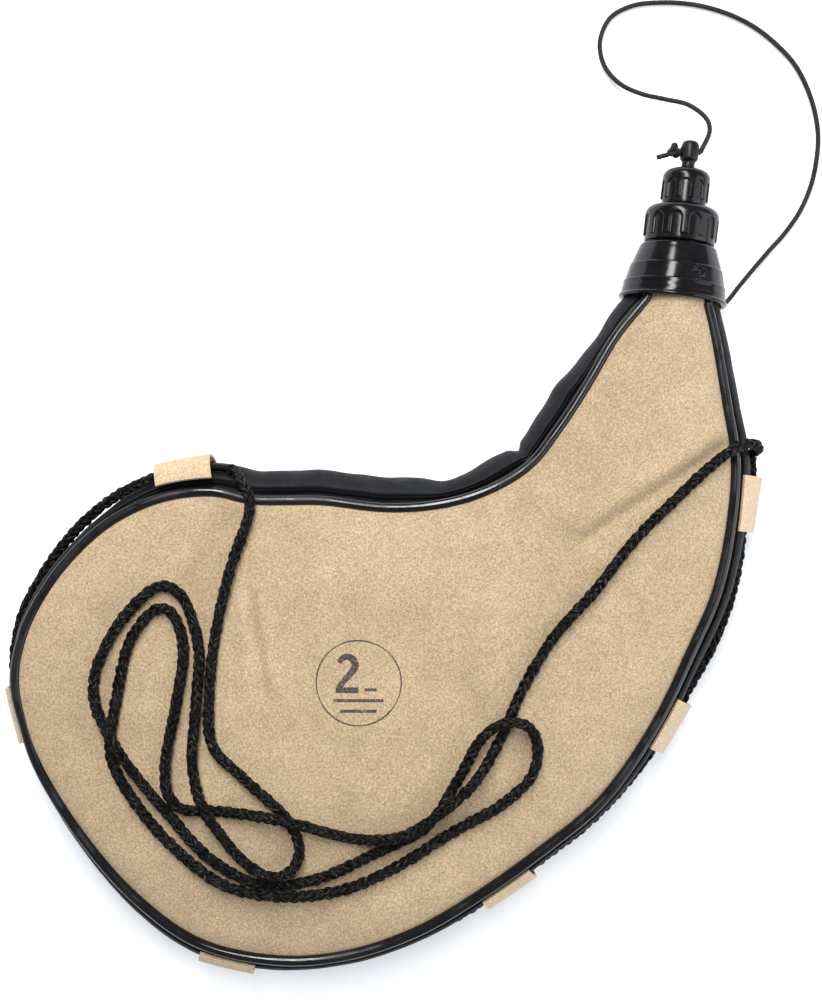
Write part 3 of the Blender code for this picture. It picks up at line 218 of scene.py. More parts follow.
class Shader:
    """A Principled material and the nodes that drive it, in object coordinates (metres)."""

    def __init__(self, name, roughness, **constants):
        self.material = bpy.data.materials.new(name)
        self.material.use_nodes = True
        self.tree = self.material.node_tree
        self.main = self.tree.nodes["Principled BSDF"]
        self.main.inputs["Roughness"].default_value = roughness
        for socket, value in constants.items():
            self.main.inputs[socket.replace("_", " ")].default_value = value
        self.place = self.add("ShaderNodeTexCoord").outputs["Object"]

    def feed(self, socket, value):
        """Links an output to a socket, or sets the socket to a value or a colour."""
        if hasattr(value, "links"):
            self.tree.links.new(value, socket)
        else:
            socket.default_value = (*value, 1) if socket.type == "RGBA" else value

    def add(self, kind, feeds=(), **settings):
        """A new node with its settings, and with what is fed to its inputs."""
        node = self.tree.nodes.new(kind)
        for key, value in settings.items():
            setattr(node, key, value)
        for key, value in dict(feeds).items():
            self.feed(node.inputs[key], value)
        return node

    def grain(self, size, detail=3.0, roughness=0.55, distortion=0.0, stretch=None, place=None):
        """Noise whose blobs are about that size, as a 0 to 1 value."""
        feeds = {"Scale": 1 / size, "Detail": detail, "Roughness": roughness, "Distortion": distortion}
        feeds["Vector"] = place or self.place
        if stretch:
            stretched = {"Vector": feeds["Vector"], "Scale": stretch}
            feeds["Vector"] = self.add("ShaderNodeMapping", stretched).outputs["Vector"]
        return self.add("ShaderNodeTexNoise", feeds).outputs["Fac"]

    def near(self, spot, core, reach):
        """1 within a core distance of a place in metres, fading to 0 at the reach."""
        away = self.add("ShaderNodeVectorMath", {0: self.place, 1: spot}, operation="DISTANCE")
        scaled = self.math("DIVIDE", away.outputs["Value"], reach)
        return self.ramp(scaled, (core / reach, 1.0), (1.0, 0.0))

    def cells(self, size):
        """Distance from the middle of the nearest cell, in cells of about that size."""
        return self.add("ShaderNodeTexVoronoi", {"Vector": self.place, "Scale": 1 / size}).outputs["Distance"]

    def ramp(self, value, *stops):
        """Colours or greys at positions along a value."""
        node = self.add("ShaderNodeValToRGB", {"Fac": value})
        elements = node.color_ramp.elements
        while len(elements) < len(stops):
            elements.new(0.5)
        for element, (position, color) in zip(elements, stops):
            element.position = position
            element.color = (*color, 1) if hasattr(color, "__len__") else (color, color, color, 1)
        return node.outputs["Color"]

    def mix(self, first, second, factor, mode="MIX"):
        feeds = {0: factor, 6: first, 7: second}
        return self.add("ShaderNodeMix", feeds, data_type="RGBA", blend_type=mode).outputs[2]

    def math(self, operation, first, second):
        return self.add("ShaderNodeMath", {0: first, 1: second}, operation=operation).outputs["Value"]

    def color(self, value):
        self.feed(self.main.inputs["Base Color"], value)

    def gloss(self, value):
        self.feed(self.main.inputs["Roughness"], value)

    def bump(self, *layers):
        """Layers of (height value, strength, depth in metres), one over the other."""
        feeds = {}
        for height, strength, depth in layers:
            feeds.update(Strength=strength, Distance=depth, Height=height)
            feeds["Normal"] = self.add("ShaderNodeBump", feeds).outputs["Normal"]
        self.feed(self.main.inputs["Normal"], feeds["Normal"])


def suede(name, light, middle, dark, mottle, painted_shade_spots=()):
    """Napped leather: fine fibres, a soft cloudy nap and darker spots of painted shade along folds and
    creases.
    """
    s = Shader(name, 0.92, Sheen_Weight=0.25, Sheen_Roughness=0.5, Specular_IOR_Level=0.2)
    fibre = s.grain(0.85 * MM, detail=4, roughness=0.75, distortion=0.5)
    speck = s.grain(0.5 * MM, detail=2, roughness=0.6, stretch=(1.0, 0.6, 1.0))
    cloud = s.grain(14 * MM, detail=3, roughness=0.6, distortion=0.6)
    patch = s.grain(60 * MM, detail=2)
    base = s.ramp(fibre, (0.41, dark), (0.50, middle), (0.59, light))
    shade = s.ramp(cloud, (0.30, 1 - mottle), (0.65, 1.0))
    wide = s.ramp(patch, (0.35, 1 - mottle * 0.8), (0.65, 1.0))
    grit = s.ramp(speck, (0.36, 0.66), (0.52, 1.0))
    tone = s.mix(base, shade, 1.0, "MULTIPLY")
    tone = s.mix(tone, wide, 1.0, "MULTIPLY")
    # Painted shade: each spot darkens the suede where a fold or crease falls into shade.
    for spot, core, reach, strength in painted_shade_spots:
        shade_mask = s.math("MULTIPLY", s.near(spot, core, reach), s.ramp(cloud, (0.38, 0.2), (0.60, 1.0)))
        tone = s.mix(tone, (0.30, 0.20, 0.12), s.math("MULTIPLY", shade_mask, strength))
    s.color(s.mix(tone, grit, 0.7, "MULTIPLY"))
    s.bump((cloud, 0.35, 0.7 * MM), (fibre, 0.8, 0.25 * MM))
    return s.material


def leatherette():
    s = Shader("black_leatherette", 0.6, Specular_IOR_Level=0.16)
    pebble = s.cells(0.9 * MM)
    crease = s.grain(7 * MM, detail=5, roughness=0.65, distortion=0.8)
    dust = s.grain(22 * MM, detail=3)
    s.color(s.ramp(dust, (0.35, (0.007, 0.0075, 0.009)), (0.72, (0.014, 0.015, 0.018))))
    s.gloss(s.ramp(crease, (0.30, 0.50), (0.70, 0.70)))
    s.bump((crease, 0.35, 0.8 * MM), (pebble, 0.30, 0.12 * MM))
    return s.material


def vinyl():
    s = Shader("black_vinyl", 0.16, Specular_IOR_Level=0.38)
    wave = s.grain(6 * MM, detail=2)
    smear = s.grain(16 * MM, detail=4)
    s.color(s.ramp(smear, (0.3, (0.004, 0.004, 0.005)), (0.8, (0.009, 0.009, 0.011))))
    s.gloss(s.ramp(smear, (0.42, 0.10), (0.60, 0.40)))
    s.bump((wave, 0.15, 0.2 * MM))
    return s.material


def cap_plastic(name, scratched, smooth, worn):
    """Moulded black plastic with one scratched patch."""
    s = Shader(name, 0.25, Specular_IOR_Level=0.28)
    orange_peel = s.grain(0.9 * MM, detail=2)
    haze = s.grain(6 * MM, detail=4)
    scratch = s.grain(0.8 * MM, detail=6, roughness=0.75, distortion=1.2, stretch=(0.35, 1.0, 1.0))
    patch = s.near(scratched, 2.2 * MM, 5.2 * MM)
    marks = s.math("MULTIPLY", s.ramp(scratch, (0.55, 0.0), (0.62, 1.0)), patch)
    clean = s.ramp(haze, (0.35, (0.003, 0.003, 0.004)), (0.75, (0.007, 0.007, 0.009)))
    s.color(s.mix(clean, (0.10, 0.11, 0.115), marks))
    plain = s.ramp(haze, (0.35, smooth), (0.75, worn))
    s.gloss(s.mix(plain, (0.6, 0.6, 0.6), marks))
    s.bump((orange_peel, 0.05, 0.05 * MM), (scratch, 0.02, 0.04 * MM))
    return s.material


def yarn(name):
    """Black filaments along each lobe of a plait, a few of which catch the light."""
    s = Shader(name, 0.6, Specular_IOR_Level=0.1)
    coordinates = s.add("ShaderNodeTexCoord").outputs["UV"]
    bundle = s.grain(1.0, detail=1, roughness=0.5, stretch=(0.25, 1.5, 1.0), place=coordinates)
    hair = s.grain(1.0, detail=3, roughness=0.6, stretch=(0.45, 6.5, 1.0), place=coordinates)
    fade = s.grain(12 * MM, detail=2)
    dark = s.ramp(fade, (0.3, (0.0005, 0.0005, 0.0006)), (0.8, (0.0018, 0.0017, 0.0017)))
    lit_hair, lit_bundle = s.ramp(hair, (0.55, 0.0), (0.63, 1.0)), s.ramp(bundle, (0.42, 0.0), (0.56, 1.0))
    glint = s.math("MULTIPLY", lit_hair, lit_bundle)
    s.color(s.mix(dark, (0.15, 0.147, 0.132), glint))
    s.gloss(s.ramp(hair, (0.40, 0.75), (0.62, 0.32)))
    s.bump((hair, 0.8, 0.12 * MM), (bundle, 0.9, 0.22 * MM))
    return s.material


def thin_yarn(name, size):
    """Worn brown black yarn with fibres of about that size."""
    s = Shader(name, 0.55, Specular_IOR_Level=0.15)
    fibre = s.grain(size, detail=3, roughness=0.7)
    fade = s.grain(12 * MM, detail=2)
    dark = s.ramp(fade, (0.3, (0.008, 0.0075, 0.0065)), (0.8, (0.014, 0.013, 0.011)))
    s.color(s.mix(dark, (0.070, 0.065, 0.055), s.ramp(fibre, (0.50, 0.0), (0.62, 1.0))))
    s.gloss(s.ramp(fibre, (0.3, 0.38), (0.7, 0.72)))
    s.bump((fibre, 0.8, 0.12 * MM))
    return s.material


def rubber():
    s = Shader("grey_rubber", 0.6)
    bloom = s.grain(3 * MM, detail=4)
    s.color(s.ramp(bloom, (0.3, (0.05, 0.05, 0.05)), (0.7, (0.10, 0.10, 0.10))))
    s.bump((bloom, 0.2, 0.1 * MM))
    return s.material


def film():
    s = Shader("clear_bladder", 0.4, Subsurface_Weight=0.2)
    ripple = s.grain(9 * MM, detail=4)
    s.color(s.ramp(ripple, (0.3, (0.45, 0.40, 0.31)), (0.7, (0.60, 0.55, 0.45))))
    s.bump((ripple, 0.3, 0.6 * MM))
    return s.material


def ink():
    """Stamping ink that has missed the low spots of the nap."""
    s = Shader("stamp_ink", 0.85, Specular_IOR_Level=0.2)
    fibre = s.grain(0.8 * MM, detail=4, roughness=0.7)
    cloud = s.grain(6 * MM, detail=2)
    spread = s.math("ADD", fibre, s.math("MULTIPLY", cloud, 0.25))
    full, thin, bare = (0.045, 0.042, 0.045), (0.10, 0.085, 0.075), (0.42, 0.31, 0.19)
    s.color(s.ramp(spread, (0.52, full), (0.70, thin), (0.80, bare)))
    s.bump((fibre, 0.5, 0.25 * MM))
    return s.material


def make_mesh(name, points, faces, finish, sharp=40.0, uv=None):
    """Points as an array, faces as lists of corners, and uv as a pair for each point."""
    mesh = bpy.data.meshes.new(name)
    mesh.from_pydata(np.asarray(points, float).tolist(), [], [list(map(int, face)) for face in faces])
    mesh.update()
    work = bmesh.new()
    work.from_mesh(mesh)
    bmesh.ops.recalc_face_normals(work, faces=work.faces)
    work.to_mesh(mesh)
    work.free()
    mesh.shade_smooth()
    mesh.set_sharp_from_angle(angle=math.radians(sharp))
    mesh.materials.append(finish)
    if uv is not None:
        corner = np.empty(len(mesh.loops), int)
        mesh.loops.foreach_get("vertex_index", corner)
        mesh.uv_layers.new(name="yarn").data.foreach_set("uv", np.asarray(uv)[corner].ravel())
    made = bpy.data.objects.new(name, mesh)
    bpy.context.scene.collection.objects.link(made)
    return made


def grid_faces(rows, columns, wrap=False, start=0):
    """Corners of the faces between rows of points; wrap also closes each row to a ring."""
    index = start + np.arange(rows * columns).reshape(rows, columns)
    if wrap:
        index = np.concatenate([index, index[:, :1]], axis=1)
    corners = index[:-1, :-1], index[:-1, 1:], index[1:, 1:], index[1:, :-1]
    return np.stack(corners, -1).reshape(-1, 4).tolist()


def shell(name, upper, lower, finish, sharp=50.0):
    """A closed sheet between two grids of points that match."""
    rows, columns = upper.shape[:2]
    count = rows * columns
    points = np.concatenate([upper.reshape(-1, 3), lower.reshape(-1, 3)])
    faces = grid_faces(rows, columns) + grid_faces(rows, columns, start=count)
    index = np.arange(count).reshape(rows, columns)
    rim = np.concatenate([index[0], index[1:, -1], index[-1, -2::-1], index[-2:0:-1, 0]])
    after = np.roll(rim, -1)
    faces += np.stack([rim, rim + count, after + count, after], -1).tolist()
    return make_mesh(name, points, faces, finish, sharp)


def catmull(points, samples):
    """A smooth curve through points, with some samples to each stretch."""
    points = np.asarray(points, float)
    padded = np.concatenate([[2 * points[0] - points[1]], points, [2 * points[-1] - points[-2]]])
    result = []
    for index in range(len(points) - 1):
        p0, p1, p2, p3 = padded[index:index + 4]
        t1 = np.linalg.norm(p1 - p0) ** 0.5
        t2 = t1 + np.linalg.norm(p2 - p1) ** 0.5
        t3 = t2 + np.linalg.norm(p3 - p2) ** 0.5
        t = (t1 + (t2 - t1) * np.arange(samples) / samples)[:, None]
        a1 = p0 + (p1 - p0) * t / t1
        a2 = p1 + (p2 - p1) * (t - t1) / (t2 - t1)
        a3 = p2 + (p3 - p2) * (t - t2) / (t3 - t2)
        b1 = a1 + (a2 - a1) * t / t2
        b2 = a2 + (a3 - a2) * (t - t1) / (t3 - t1)
        result.append(b1 + (b2 - b1) * (t - t1) / (t2 - t1))
    return np.concatenate(result + [points[-1:]])


def run_of(points):
    steps = np.linalg.norm(np.diff(points, axis=0), axis=1)
    return np.concatenate([[0.0], np.cumsum(steps)])


def sampled(values, run, places):
    """Rows of values read at places between the lengths of a run."""
    return np.stack([np.interp(places, run, values[:, axis]) for axis in range(values.shape[1])], -1)


def along(points, places):
    return sampled(points, run_of(points), places)


def even(points, step):
    length = run_of(points)[-1]
    return along(points, np.linspace(0, length, max(2, int(length / step) + 1)))


def smoothed(part):
    """Eases a share from 0 to 1."""
    part = np.clip(part, 0, 1)
    return part * part * (3 - 2 * part)


def unit(rows):
    return rows / np.linalg.norm(rows, axis=-1)[..., None]


def table_value(table, place):
    """A table's values at places along it, eased from row to row."""
    table = np.array(table)
    slot = np.clip(np.searchsorted(table[:, 0], place, side="right") - 1, 0, len(table) - 2)
    low, high = table[slot], table[slot + 1]
    part = smoothed((place - low[:, 0]) / (high[:, 0] - low[:, 0]))
    return low[:, 1] + (high[:, 1] - low[:, 1]) * part


def noise_at(points, size, seed=0.0):
    """Smooth noise from -1 to 1 at each point of an array."""
    shift = Vector((seed, seed * 0.7, seed * 1.3))
    flat = points.reshape(-1, 3) / size
    values = [noise.noise(Vector(point) + shift) for point in flat]
    return np.array(values).reshape(points.shape[:-1])


def cord_frames(path):
    """Tangents and two side directions along a path, carried without twist."""
    tangent = unit(np.gradient(path, axis=0))
    side = np.zeros_like(path)
    side[0] = unit(np.cross(tangent[0], UP))
    for index in range(1, len(path)):
        side[index] = unit(side[index - 1] - tangent[index] * np.dot(side[index - 1], tangent[index]))
    return tangent, side, np.cross(tangent, side)


def tube(path, radius, sides):
    """Points and faces of a tube with closed ends; radius is one value or rows by sides."""
    tangent, side, up = cord_frames(path)
    angle = np.arange(sides) * 2 * math.pi / sides
    reach = np.broadcast_to(np.asarray(radius, float), (len(path), sides))[..., None]
    ring = side[:, None] * np.cos(angle)[None, :, None] + up[:, None] * np.sin(angle)[None, :, None]
    points = (path[:, None] + ring * reach).reshape(-1, 3)
    faces = grid_faces(len(path), sides, wrap=True)
    return points, faces + [list(range(sides)), list(range(len(points) - sides, len(points)))]


# Plait of the sling, as shares of its diameter: pitch, core radius, and half a lobe's width and height
PLAIT_PITCH_SHARE = 3.6
PLAIT_CORE_SHARE = 0.32
LOBE_WIDTH_SHARE = 0.205
LOBE_HEIGHT_SHARE = 0.15
# Lobes of a column in one pitch, half the turn of a lobe, its rows of points and the angles of its section
LOBES_PER_PITCH = 4.7
LOBE_SPAN = math.radians(56)
LOBE_STEPS = 8
LOBE_ROLL = np.radians([-35.0, 8.0, 50.0, 90.0, 130.0, 172.0, 215.0])


def braid(name, route, diameter, finish):
    """A round plaited cord: chevron lobes of yarn in four columns over a core."""
    path = even(catmull(route, 8), 1.0 * MM)
    run = run_of(path)
    frames = cord_frames(path)
    radius = diameter / 2
    pitch = diameter * PLAIT_PITCH_SHARE
    spacing = pitch / LOBES_PER_PITCH
    slant = math.atan(2 * math.pi * radius * 0.85 / pitch)
    points, faces = tube(path[::2], diameter * PLAIT_CORE_SHARE, 8)
    points, uv = [points], [np.zeros((len(points), 2))]
    total = len(points[0])
    u = np.linspace(-1, 1, LOBE_STEPS)
    rows, columns = len(u), len(LOBE_ROLL)
    quad = np.array(grid_faces(rows, columns))
    wide = (diameter * LOBE_WIDTH_SHARE * (1 - 0.45 * u ** 2))[None, :, None] * np.cos(LOBE_ROLL)
    tall = (diameter * LOBE_HEIGHT_SHARE * (1 - 0.25 * u ** 2))[None, :, None] * np.sin(LOBE_ROLL)
    count = int((run[-1] - pitch / 2) / spacing)
    number = np.arange(count)
    centre = pitch / 4 + spacing * number
    chance = np.random.default_rng(5)
    for turn in (1, -1):
        for column in range(2):
            middle = column * math.pi + (math.pi / 2 if turn < 0 else 0)
            shift = chance.normal(0, 0.07 * spacing, count)[:, None]
            swing = chance.normal(0, 0.06, count)[:, None]
            swell = (chance.normal(1, 0.03, count) + 0.05 * (-1.0) ** number)[:, None]
            place = centre[:, None] + (spacing / 2 if turn < 0 else 0) + shift
            place = place + u * LOBE_SPAN / (2 * math.pi) * pitch
            sway = 0.30 * np.sin(place / (11 * MM)) + 0.15 * np.sin(place / (4.3 * MM) + 1.0)
            angle = (middle + turn * u * LOBE_SPAN + sway + swing)[..., None]
            t, n, b, p = (sampled(source, run, place) for source in (*frames, path))
            out = n * np.cos(angle) + b * np.sin(angle)
            across = b * np.cos(angle) - n * np.sin(angle)
            lateral = across * math.cos(slant) - t * (turn * math.sin(slant))
            lift = radius * (0.76 - 0.34 * np.abs(u) ** 2.2) * swell
            body = p + out * lift[..., None]
            ring = body[:, :, None] + lateral[:, :, None] * wide[..., None]
            ring = ring + out[:, :, None] * tall[..., None]
            first = total + number[:, None, None] * (rows * columns)
            faces += (first + quad[None]).reshape(-1, 4).tolist()
            points.append(ring.reshape(-1, 3))
            down = (u * 2.6)[None, :, None] + 7.3 * number[:, None, None]
            over = (LOBE_ROLL + 3.1 * column)[None, None]
            uv.append(np.stack(np.broadcast_arrays(down, over), -1).reshape(-1, 2))
            total += count * rows * columns
    made = make_mesh(name, np.concatenate(points), faces, finish, sharp=80.0, uv=np.concatenate(uv))
    return made, path


def fine_braid(route, diameter):
    """Rings of a thin cord whose plait shows as small diagonal bumps, and its path."""
    sides = 14
    path = even(catmull(route, 10), 0.42 * MM)
    angle = np.arange(sides) * 2 * math.pi / sides
    swirl = 2 * math.pi * run_of(path)[:, None] / (diameter * 2.8)
    bumps = np.maximum(np.cos(4 * (angle - swirl)), np.cos(4 * (angle + swirl) + math.pi / 2))
    points = tube(path, diameter / 2 * (0.87 + 0.17 * bumps), sides)[0]
    return points.reshape(len(path), sides, 3), path


def cord_mesh(name, rings, finish):
    """A closed tube through rings of points."""
    rows, sides = rings.shape[:2]
    faces = grid_faces(rows, sides, wrap=True)
    faces += [list(range(sides)), list(range((rows - 1) * sides, rows * sides))]
    return make_mesh(name, rings.reshape(-1, 3), faces, finish, sharp=80.0)


# Where the tether goes out of sight under the collar's rim
TETHER_TUCK = (0.1502, 0.1127, 0.0122)
# Where the tether's two stretches meet, and the fixed and the moved end of each where the caps draw it along
TETHER_SPLIT = (0.1008, 0.2388, 0.0014)
TETHER_DRAW = (((0.1872, 0.1494, 0.0), (0.1182, 0.2394, 0.0)), ((0.1032, 0.2234, 0.0), (0.1428, 0.1884, 0.0)))


def neck_point(across, place, height=0.0):
    """A place by its way across and along the neck's axis, and its height."""
    return np.array([NECK_BASE_X, NECK_BASE_Y, height]) + NECK_ACROSS * across + NECK_AXIS * place


def rail(shares, side):
    """Plan points of a seam from inside the collar to the far end, RIB_STEPS to a rib."""
    points = [neck_point(side * THROAT_HALF_WIDTH, -COLLAR_WALL)]
    for across, place in shares:
        points.append((NECK_BASE_X + across * PANEL_WIDTH, NECK_BASE_Y + place * PANEL_LENGTH, 0.0))
    curve = catmull(points, 12)
    body = along(curve, np.linspace(0, run_of(curve)[-1], (RIB_COUNT - 2) * RIB_STEPS + 1))
    tucked = neck_point(side * THROAT_HALF_WIDTH, THROAT_INSERT)
    lead = tucked + (body[0] - tucked) * np.linspace(0, 1, RIB_STEPS, endpoint=False)[:, None]
    return np.concatenate([lead, body])


def square_to(way):
    """Plan directions square to each way, of unit length."""
    return unit(np.stack([way[:, 1], -way[:, 0], 0 * way[:, 0]], -1))


def raised(plan, height):
    """Plan points set at new heights."""
    height = np.broadcast_to(height, plan.shape[:-1])
    return np.concatenate([plan[..., :2], height[..., None]], -1)


def rib_rows(start, end, bow, shares):
    """Rows of plan points from start to end points, bowed away from the neck."""
    span = end - start
    arch = 4 * shares * (1 - shares)
    bowed = square_to(span)[:, None] * (bow[:, None] * arch)[..., None]
    return start[:, None] + span[:, None] * shares[None, :, None] + bowed


class Outline:
    """The seam line all round, with seam heights and gusset bulge at each place."""

    def __init__(self):
        inner = rail(INNER_RAIL_SHARES, -1)
        outer = rail(OUTER_RAIL_SHARES, 1)
        self.rows = len(inner)
        end = rib_rows(inner[-1:], outer[-1:], np.array([END_BOW]), np.linspace(0, 1, 21))[0]
        self.point = np.concatenate([inner, end[1:-1], outer[::-1]])
        self.run = run_of(self.point)
        self.total = total = self.run[-1]
        reach = 5
        before = np.concatenate([np.repeat(self.point[:1], reach, 0), self.point[:-reach]])
        after = np.concatenate([self.point[reach:], np.repeat(self.point[-1:], reach, 0)])
        self.outward = square_to(after - before)
        from_neck = (self.from_ends() - self.run[RIB_STEPS]) / (PANEL_WIDTH / 4)
        from_neck = smoothed(from_neck)
        high, low = NECK_HEIGHT + THROAT_HALF_HEIGHT, NECK_HEIGHT - THROAT_HALF_HEIGHT
        self.top = high + (FRONT_SEAM_HEIGHT - high) * from_neck
        self.bottom = low + (BACK_SEAM_HEIGHT - low) * from_neck
        neck_bulge = THROAT_RADIUS + PIPING_RADIUS - THROAT_HALF_WIDTH - GAP
        full = GUSSET_BULGE * table_value(BULGE_SHARES, self.run / total)
        self.bulge = neck_bulge + (full - neck_bulge) * from_neck
        self.tuck = BACK_SEAM_TUCK * table_value(TUCK_SHARES, self.run / total)

    def from_ends(self):
        """How far each place is from the nearer end at the neck."""
        return np.minimum(self.run, self.total - self.run)

    def half(self):
        return (self.top - self.bottom) / 2 - PIPING_RADIUS - GAP

    def middle(self):
        return (self.top + self.bottom) / 2

    def belly(self, angle):
        """How far out the gusset's face is, at an angle up from the middle of its belly."""
        return self.bulge * math.cos(angle) - self.tuck * (1 - math.sin(angle)) / 2

    def at(self, offset, height):
        return raised(self.point + self.outward * np.asarray(offset)[..., None], height)

    def window(self, low, high, count):
        """The outline's values at even places between two lengths along it."""
        part = Outline.__new__(Outline)
        part.run, part.total = np.linspace(low, high, count), self.total
        for field in ("point", "outward"):
            setattr(part, field, sampled(getattr(self, field), self.run, part.run))
        for field in ("top", "bottom", "bulge", "tuck"):
            setattr(part, field, np.interp(part.run, self.run, getattr(self, field)))
        return part


def panel_grid(outline, inset, tuck_share=0):
    """Plan points of a panel, its column shares and the rib number of each row."""
    level = np.linspace(0, 1, COLUMNS)
    shares = 0.5 * (0.5 - 0.5 * np.cos(np.pi * level)) + 0.5 * level
    rows = outline.rows
    drawn = outline.point - outline.outward * (inset + outline.tuck * tuck_share)[:, None]
    inner, outer = drawn[:rows], drawn[::-1][:rows]
    number = np.arange(rows) / RIB_STEPS
    full = np.linalg.norm(outline.point[::-1][:rows] - outline.point[:rows], axis=1)
    shortened = np.linalg.norm(outer - inner, axis=1) / full
    bow = END_BOW * (number / (RIB_COUNT - 1)) ** 6 * shortened ** 2
    return rib_rows(inner, outer, bow, shares), shares, number


def panel_heights(outline, seam, shares, number, crown):
    """Heights of a panel between its seams, and its crown over them."""
    across = np.clip(1 - (2 * shares - 1) ** 2, 0, 1) ** 0.8
    lengthways = 1 - (number / (RIB_COUNT - 1)) ** 5
    neck_crown = THROAT_RADIUS - THROAT_HALF_HEIGHT
    full = crown + (neck_crown - crown) * (1 - smoothed(number / 5))
    rows = outline.rows
    edge = seam[:rows, None] + (seam[::-1][:rows] - seam[:rows])[:, None] * shares
    return edge, full[:, None] * lengthways[:, None] * across


def seam_free(shares):
    """0 at a panel's seams, rising to 1 a little way in."""
    return smoothed(np.minimum(shares, 1 - shares) / 0.06)[None, :]


def ruler_point(u, v, height):
    """The place in metres that a pixel of the photo shows at a height."""
    scale = PIXEL * (1 - (height - RULER_HEIGHT) / VIEW_HEIGHT)
    return np.array([VIEW_X + (u - VIEW_U) * scale, VIEW_Y - (v - VIEW_V) * scale, height])


# Soft folds of the front, each as two pixels of the photo, half width and rise in mm
FRONT_FOLDS = (
    ((248, 592), (264, 690), 2.4, -1.7), ((256, 590), (274, 688), 3.4, 1.1),
    ((240, 600), (250, 676), 4.0, 0.7), ((716, 434), (578, 524), 5.0, 2.5),
    ((724, 446), (586, 540), 3.2, -2.2), ((728, 466), (600, 566), 5.0, 1.0),
    ((585, 536), (530, 640), 6.0, 1.1), ((530, 640), (545, 570), 2.6, -0.9),
    ((461, 694), (490, 728), 8.0, -1.7), ((446, 706), (470, 738), 5.0, 0.8),
    ((110, 590), (150, 552), 10.0, 1.0), ((139, 565), (98, 624), 4.5, -1.1),
    ((640, 330), (600, 420), 9.0, -0.8), ((330, 560), (470, 545), 16.0, 0.9),
    ((330, 770), (440, 760), 14.0, -1.1), ((700, 520), (660, 640), 10.0, -1.0),
    ((470, 900), (560, 840), 9.0, 0.8), ((226, 520), (188, 592), 4.5, -1.7),
    ((206, 515), (172, 584), 5.0, 0.9), ((290, 600), (420, 575), 9.0, 0.7),
)
FOLD_HEIGHT = 50 * MM
# Bends of the gusset: a pixel of the photo beside each, half width and push in mm
GUSSET_BENDS = (
    ((518, 449), 2.6, -2.6), ((538, 412), 12.0, 1.4), ((492, 458), 12.0, 2.8), ((556, 386), 8.0, 2.2),
    ((594, 338), 9.0, -1.9), ((440, 481), 7.0, -1.5),
)
GUSSET_STEPS = 48


# Spots of painted shade on the front, along its folds and creases: pixels of the photo, core and reach in mm,
# strength
PAINTED_SHADE_SPOTS = (
    (196, 588, 4, 14, 0.22), (258, 560, 3, 12, 0.16), (120, 600, 6, 22, 0.12), (604, 532, 2, 9, 0.13),
    (574, 556, 2, 10, 0.15), (552, 590, 2, 10, 0.15), (534, 628, 2, 10, 0.13), (518, 664, 2, 9, 0.12),
    (462, 708, 2, 12, 0.14), (700, 470, 6, 26, 0.10), (330, 935, 8, 30, 0.10), (250, 760, 3, 12, 0.14),
    (320, 850, 4, 14, 0.12),
)
# Height at which the spots of painted shade are placed
PAINTED_SHADE_HEIGHT = 49 * MM
# Middle of the scratched patch on the neck: pixel of the photo and height
SCRATCH_PIXEL = (697, 274)
SCRATCH_HEIGHT = 43 * MM


def folds(points):
    """Height that the front's folds add at each point."""
    added = np.zeros(points.shape[:-1])
    for start, end, half_width, rise in FRONT_FOLDS:
        a, b = ruler_point(*start, FOLD_HEIGHT)[:2], ruler_point(*end, FOLD_HEIGHT)[:2]
        way = b - a
        flat = points[..., :2] - a
        part = np.clip((flat @ way) / (way @ way), 0, 1)
        distance = np.linalg.norm(flat - part[..., None] * way, axis=-1) / (half_width * MM)
        added += rise * MM * np.exp(-distance ** 2)
    return added


def front_skin(outline, finish):
    plan, shares, number = panel_grid(outline, PIPING_RADIUS / 2)
    edge, crown = panel_heights(outline, outline.top, shares, number, FRONT_CROWN)
    surface = raised(plan, edge + crown)
    calm = smoothed(number / 4)[:, None] * seam_free(shares)
    soft = 0.85 * MM * noise_at(surface, 36 * MM) + 0.34 * MM * noise_at(surface, 13 * MM, 5.0)
    rolled = 0.5 * MM * np.exp(-shares / 0.028) + 1.8 * MM * np.exp((shares - 1) / 0.028)
    height = edge + crown + calm * (soft + folds(surface)) - rolled
    upper, lower = raised(plan, height + PANEL_THICKNESS / 2), raised(plan, height - PANEL_THICKNESS / 2)
    return shell("front_skin", upper, lower, finish)


def back_skin(outline, finish):
    """The back, flattened where it rests on the surface."""
    plan, shares, number = panel_grid(outline, PIPING_RADIUS + GAP, tuck_share=1)
    edge, crown = panel_heights(outline, outline.bottom, shares, number, BACK_CROWN)
    raw = edge - PANEL_THICKNESS / 2 - crown
    ripple = 0.5 * MM * noise_at(raised(plan, raw), 30 * MM, 9.0) * seam_free(shares)
    height = np.maximum(0.0, raw + np.where(raw < 6 * MM, ripple, 0))
    return shell("back_skin", raised(plan, height + PANEL_THICKNESS), raised(plan, height), finish)


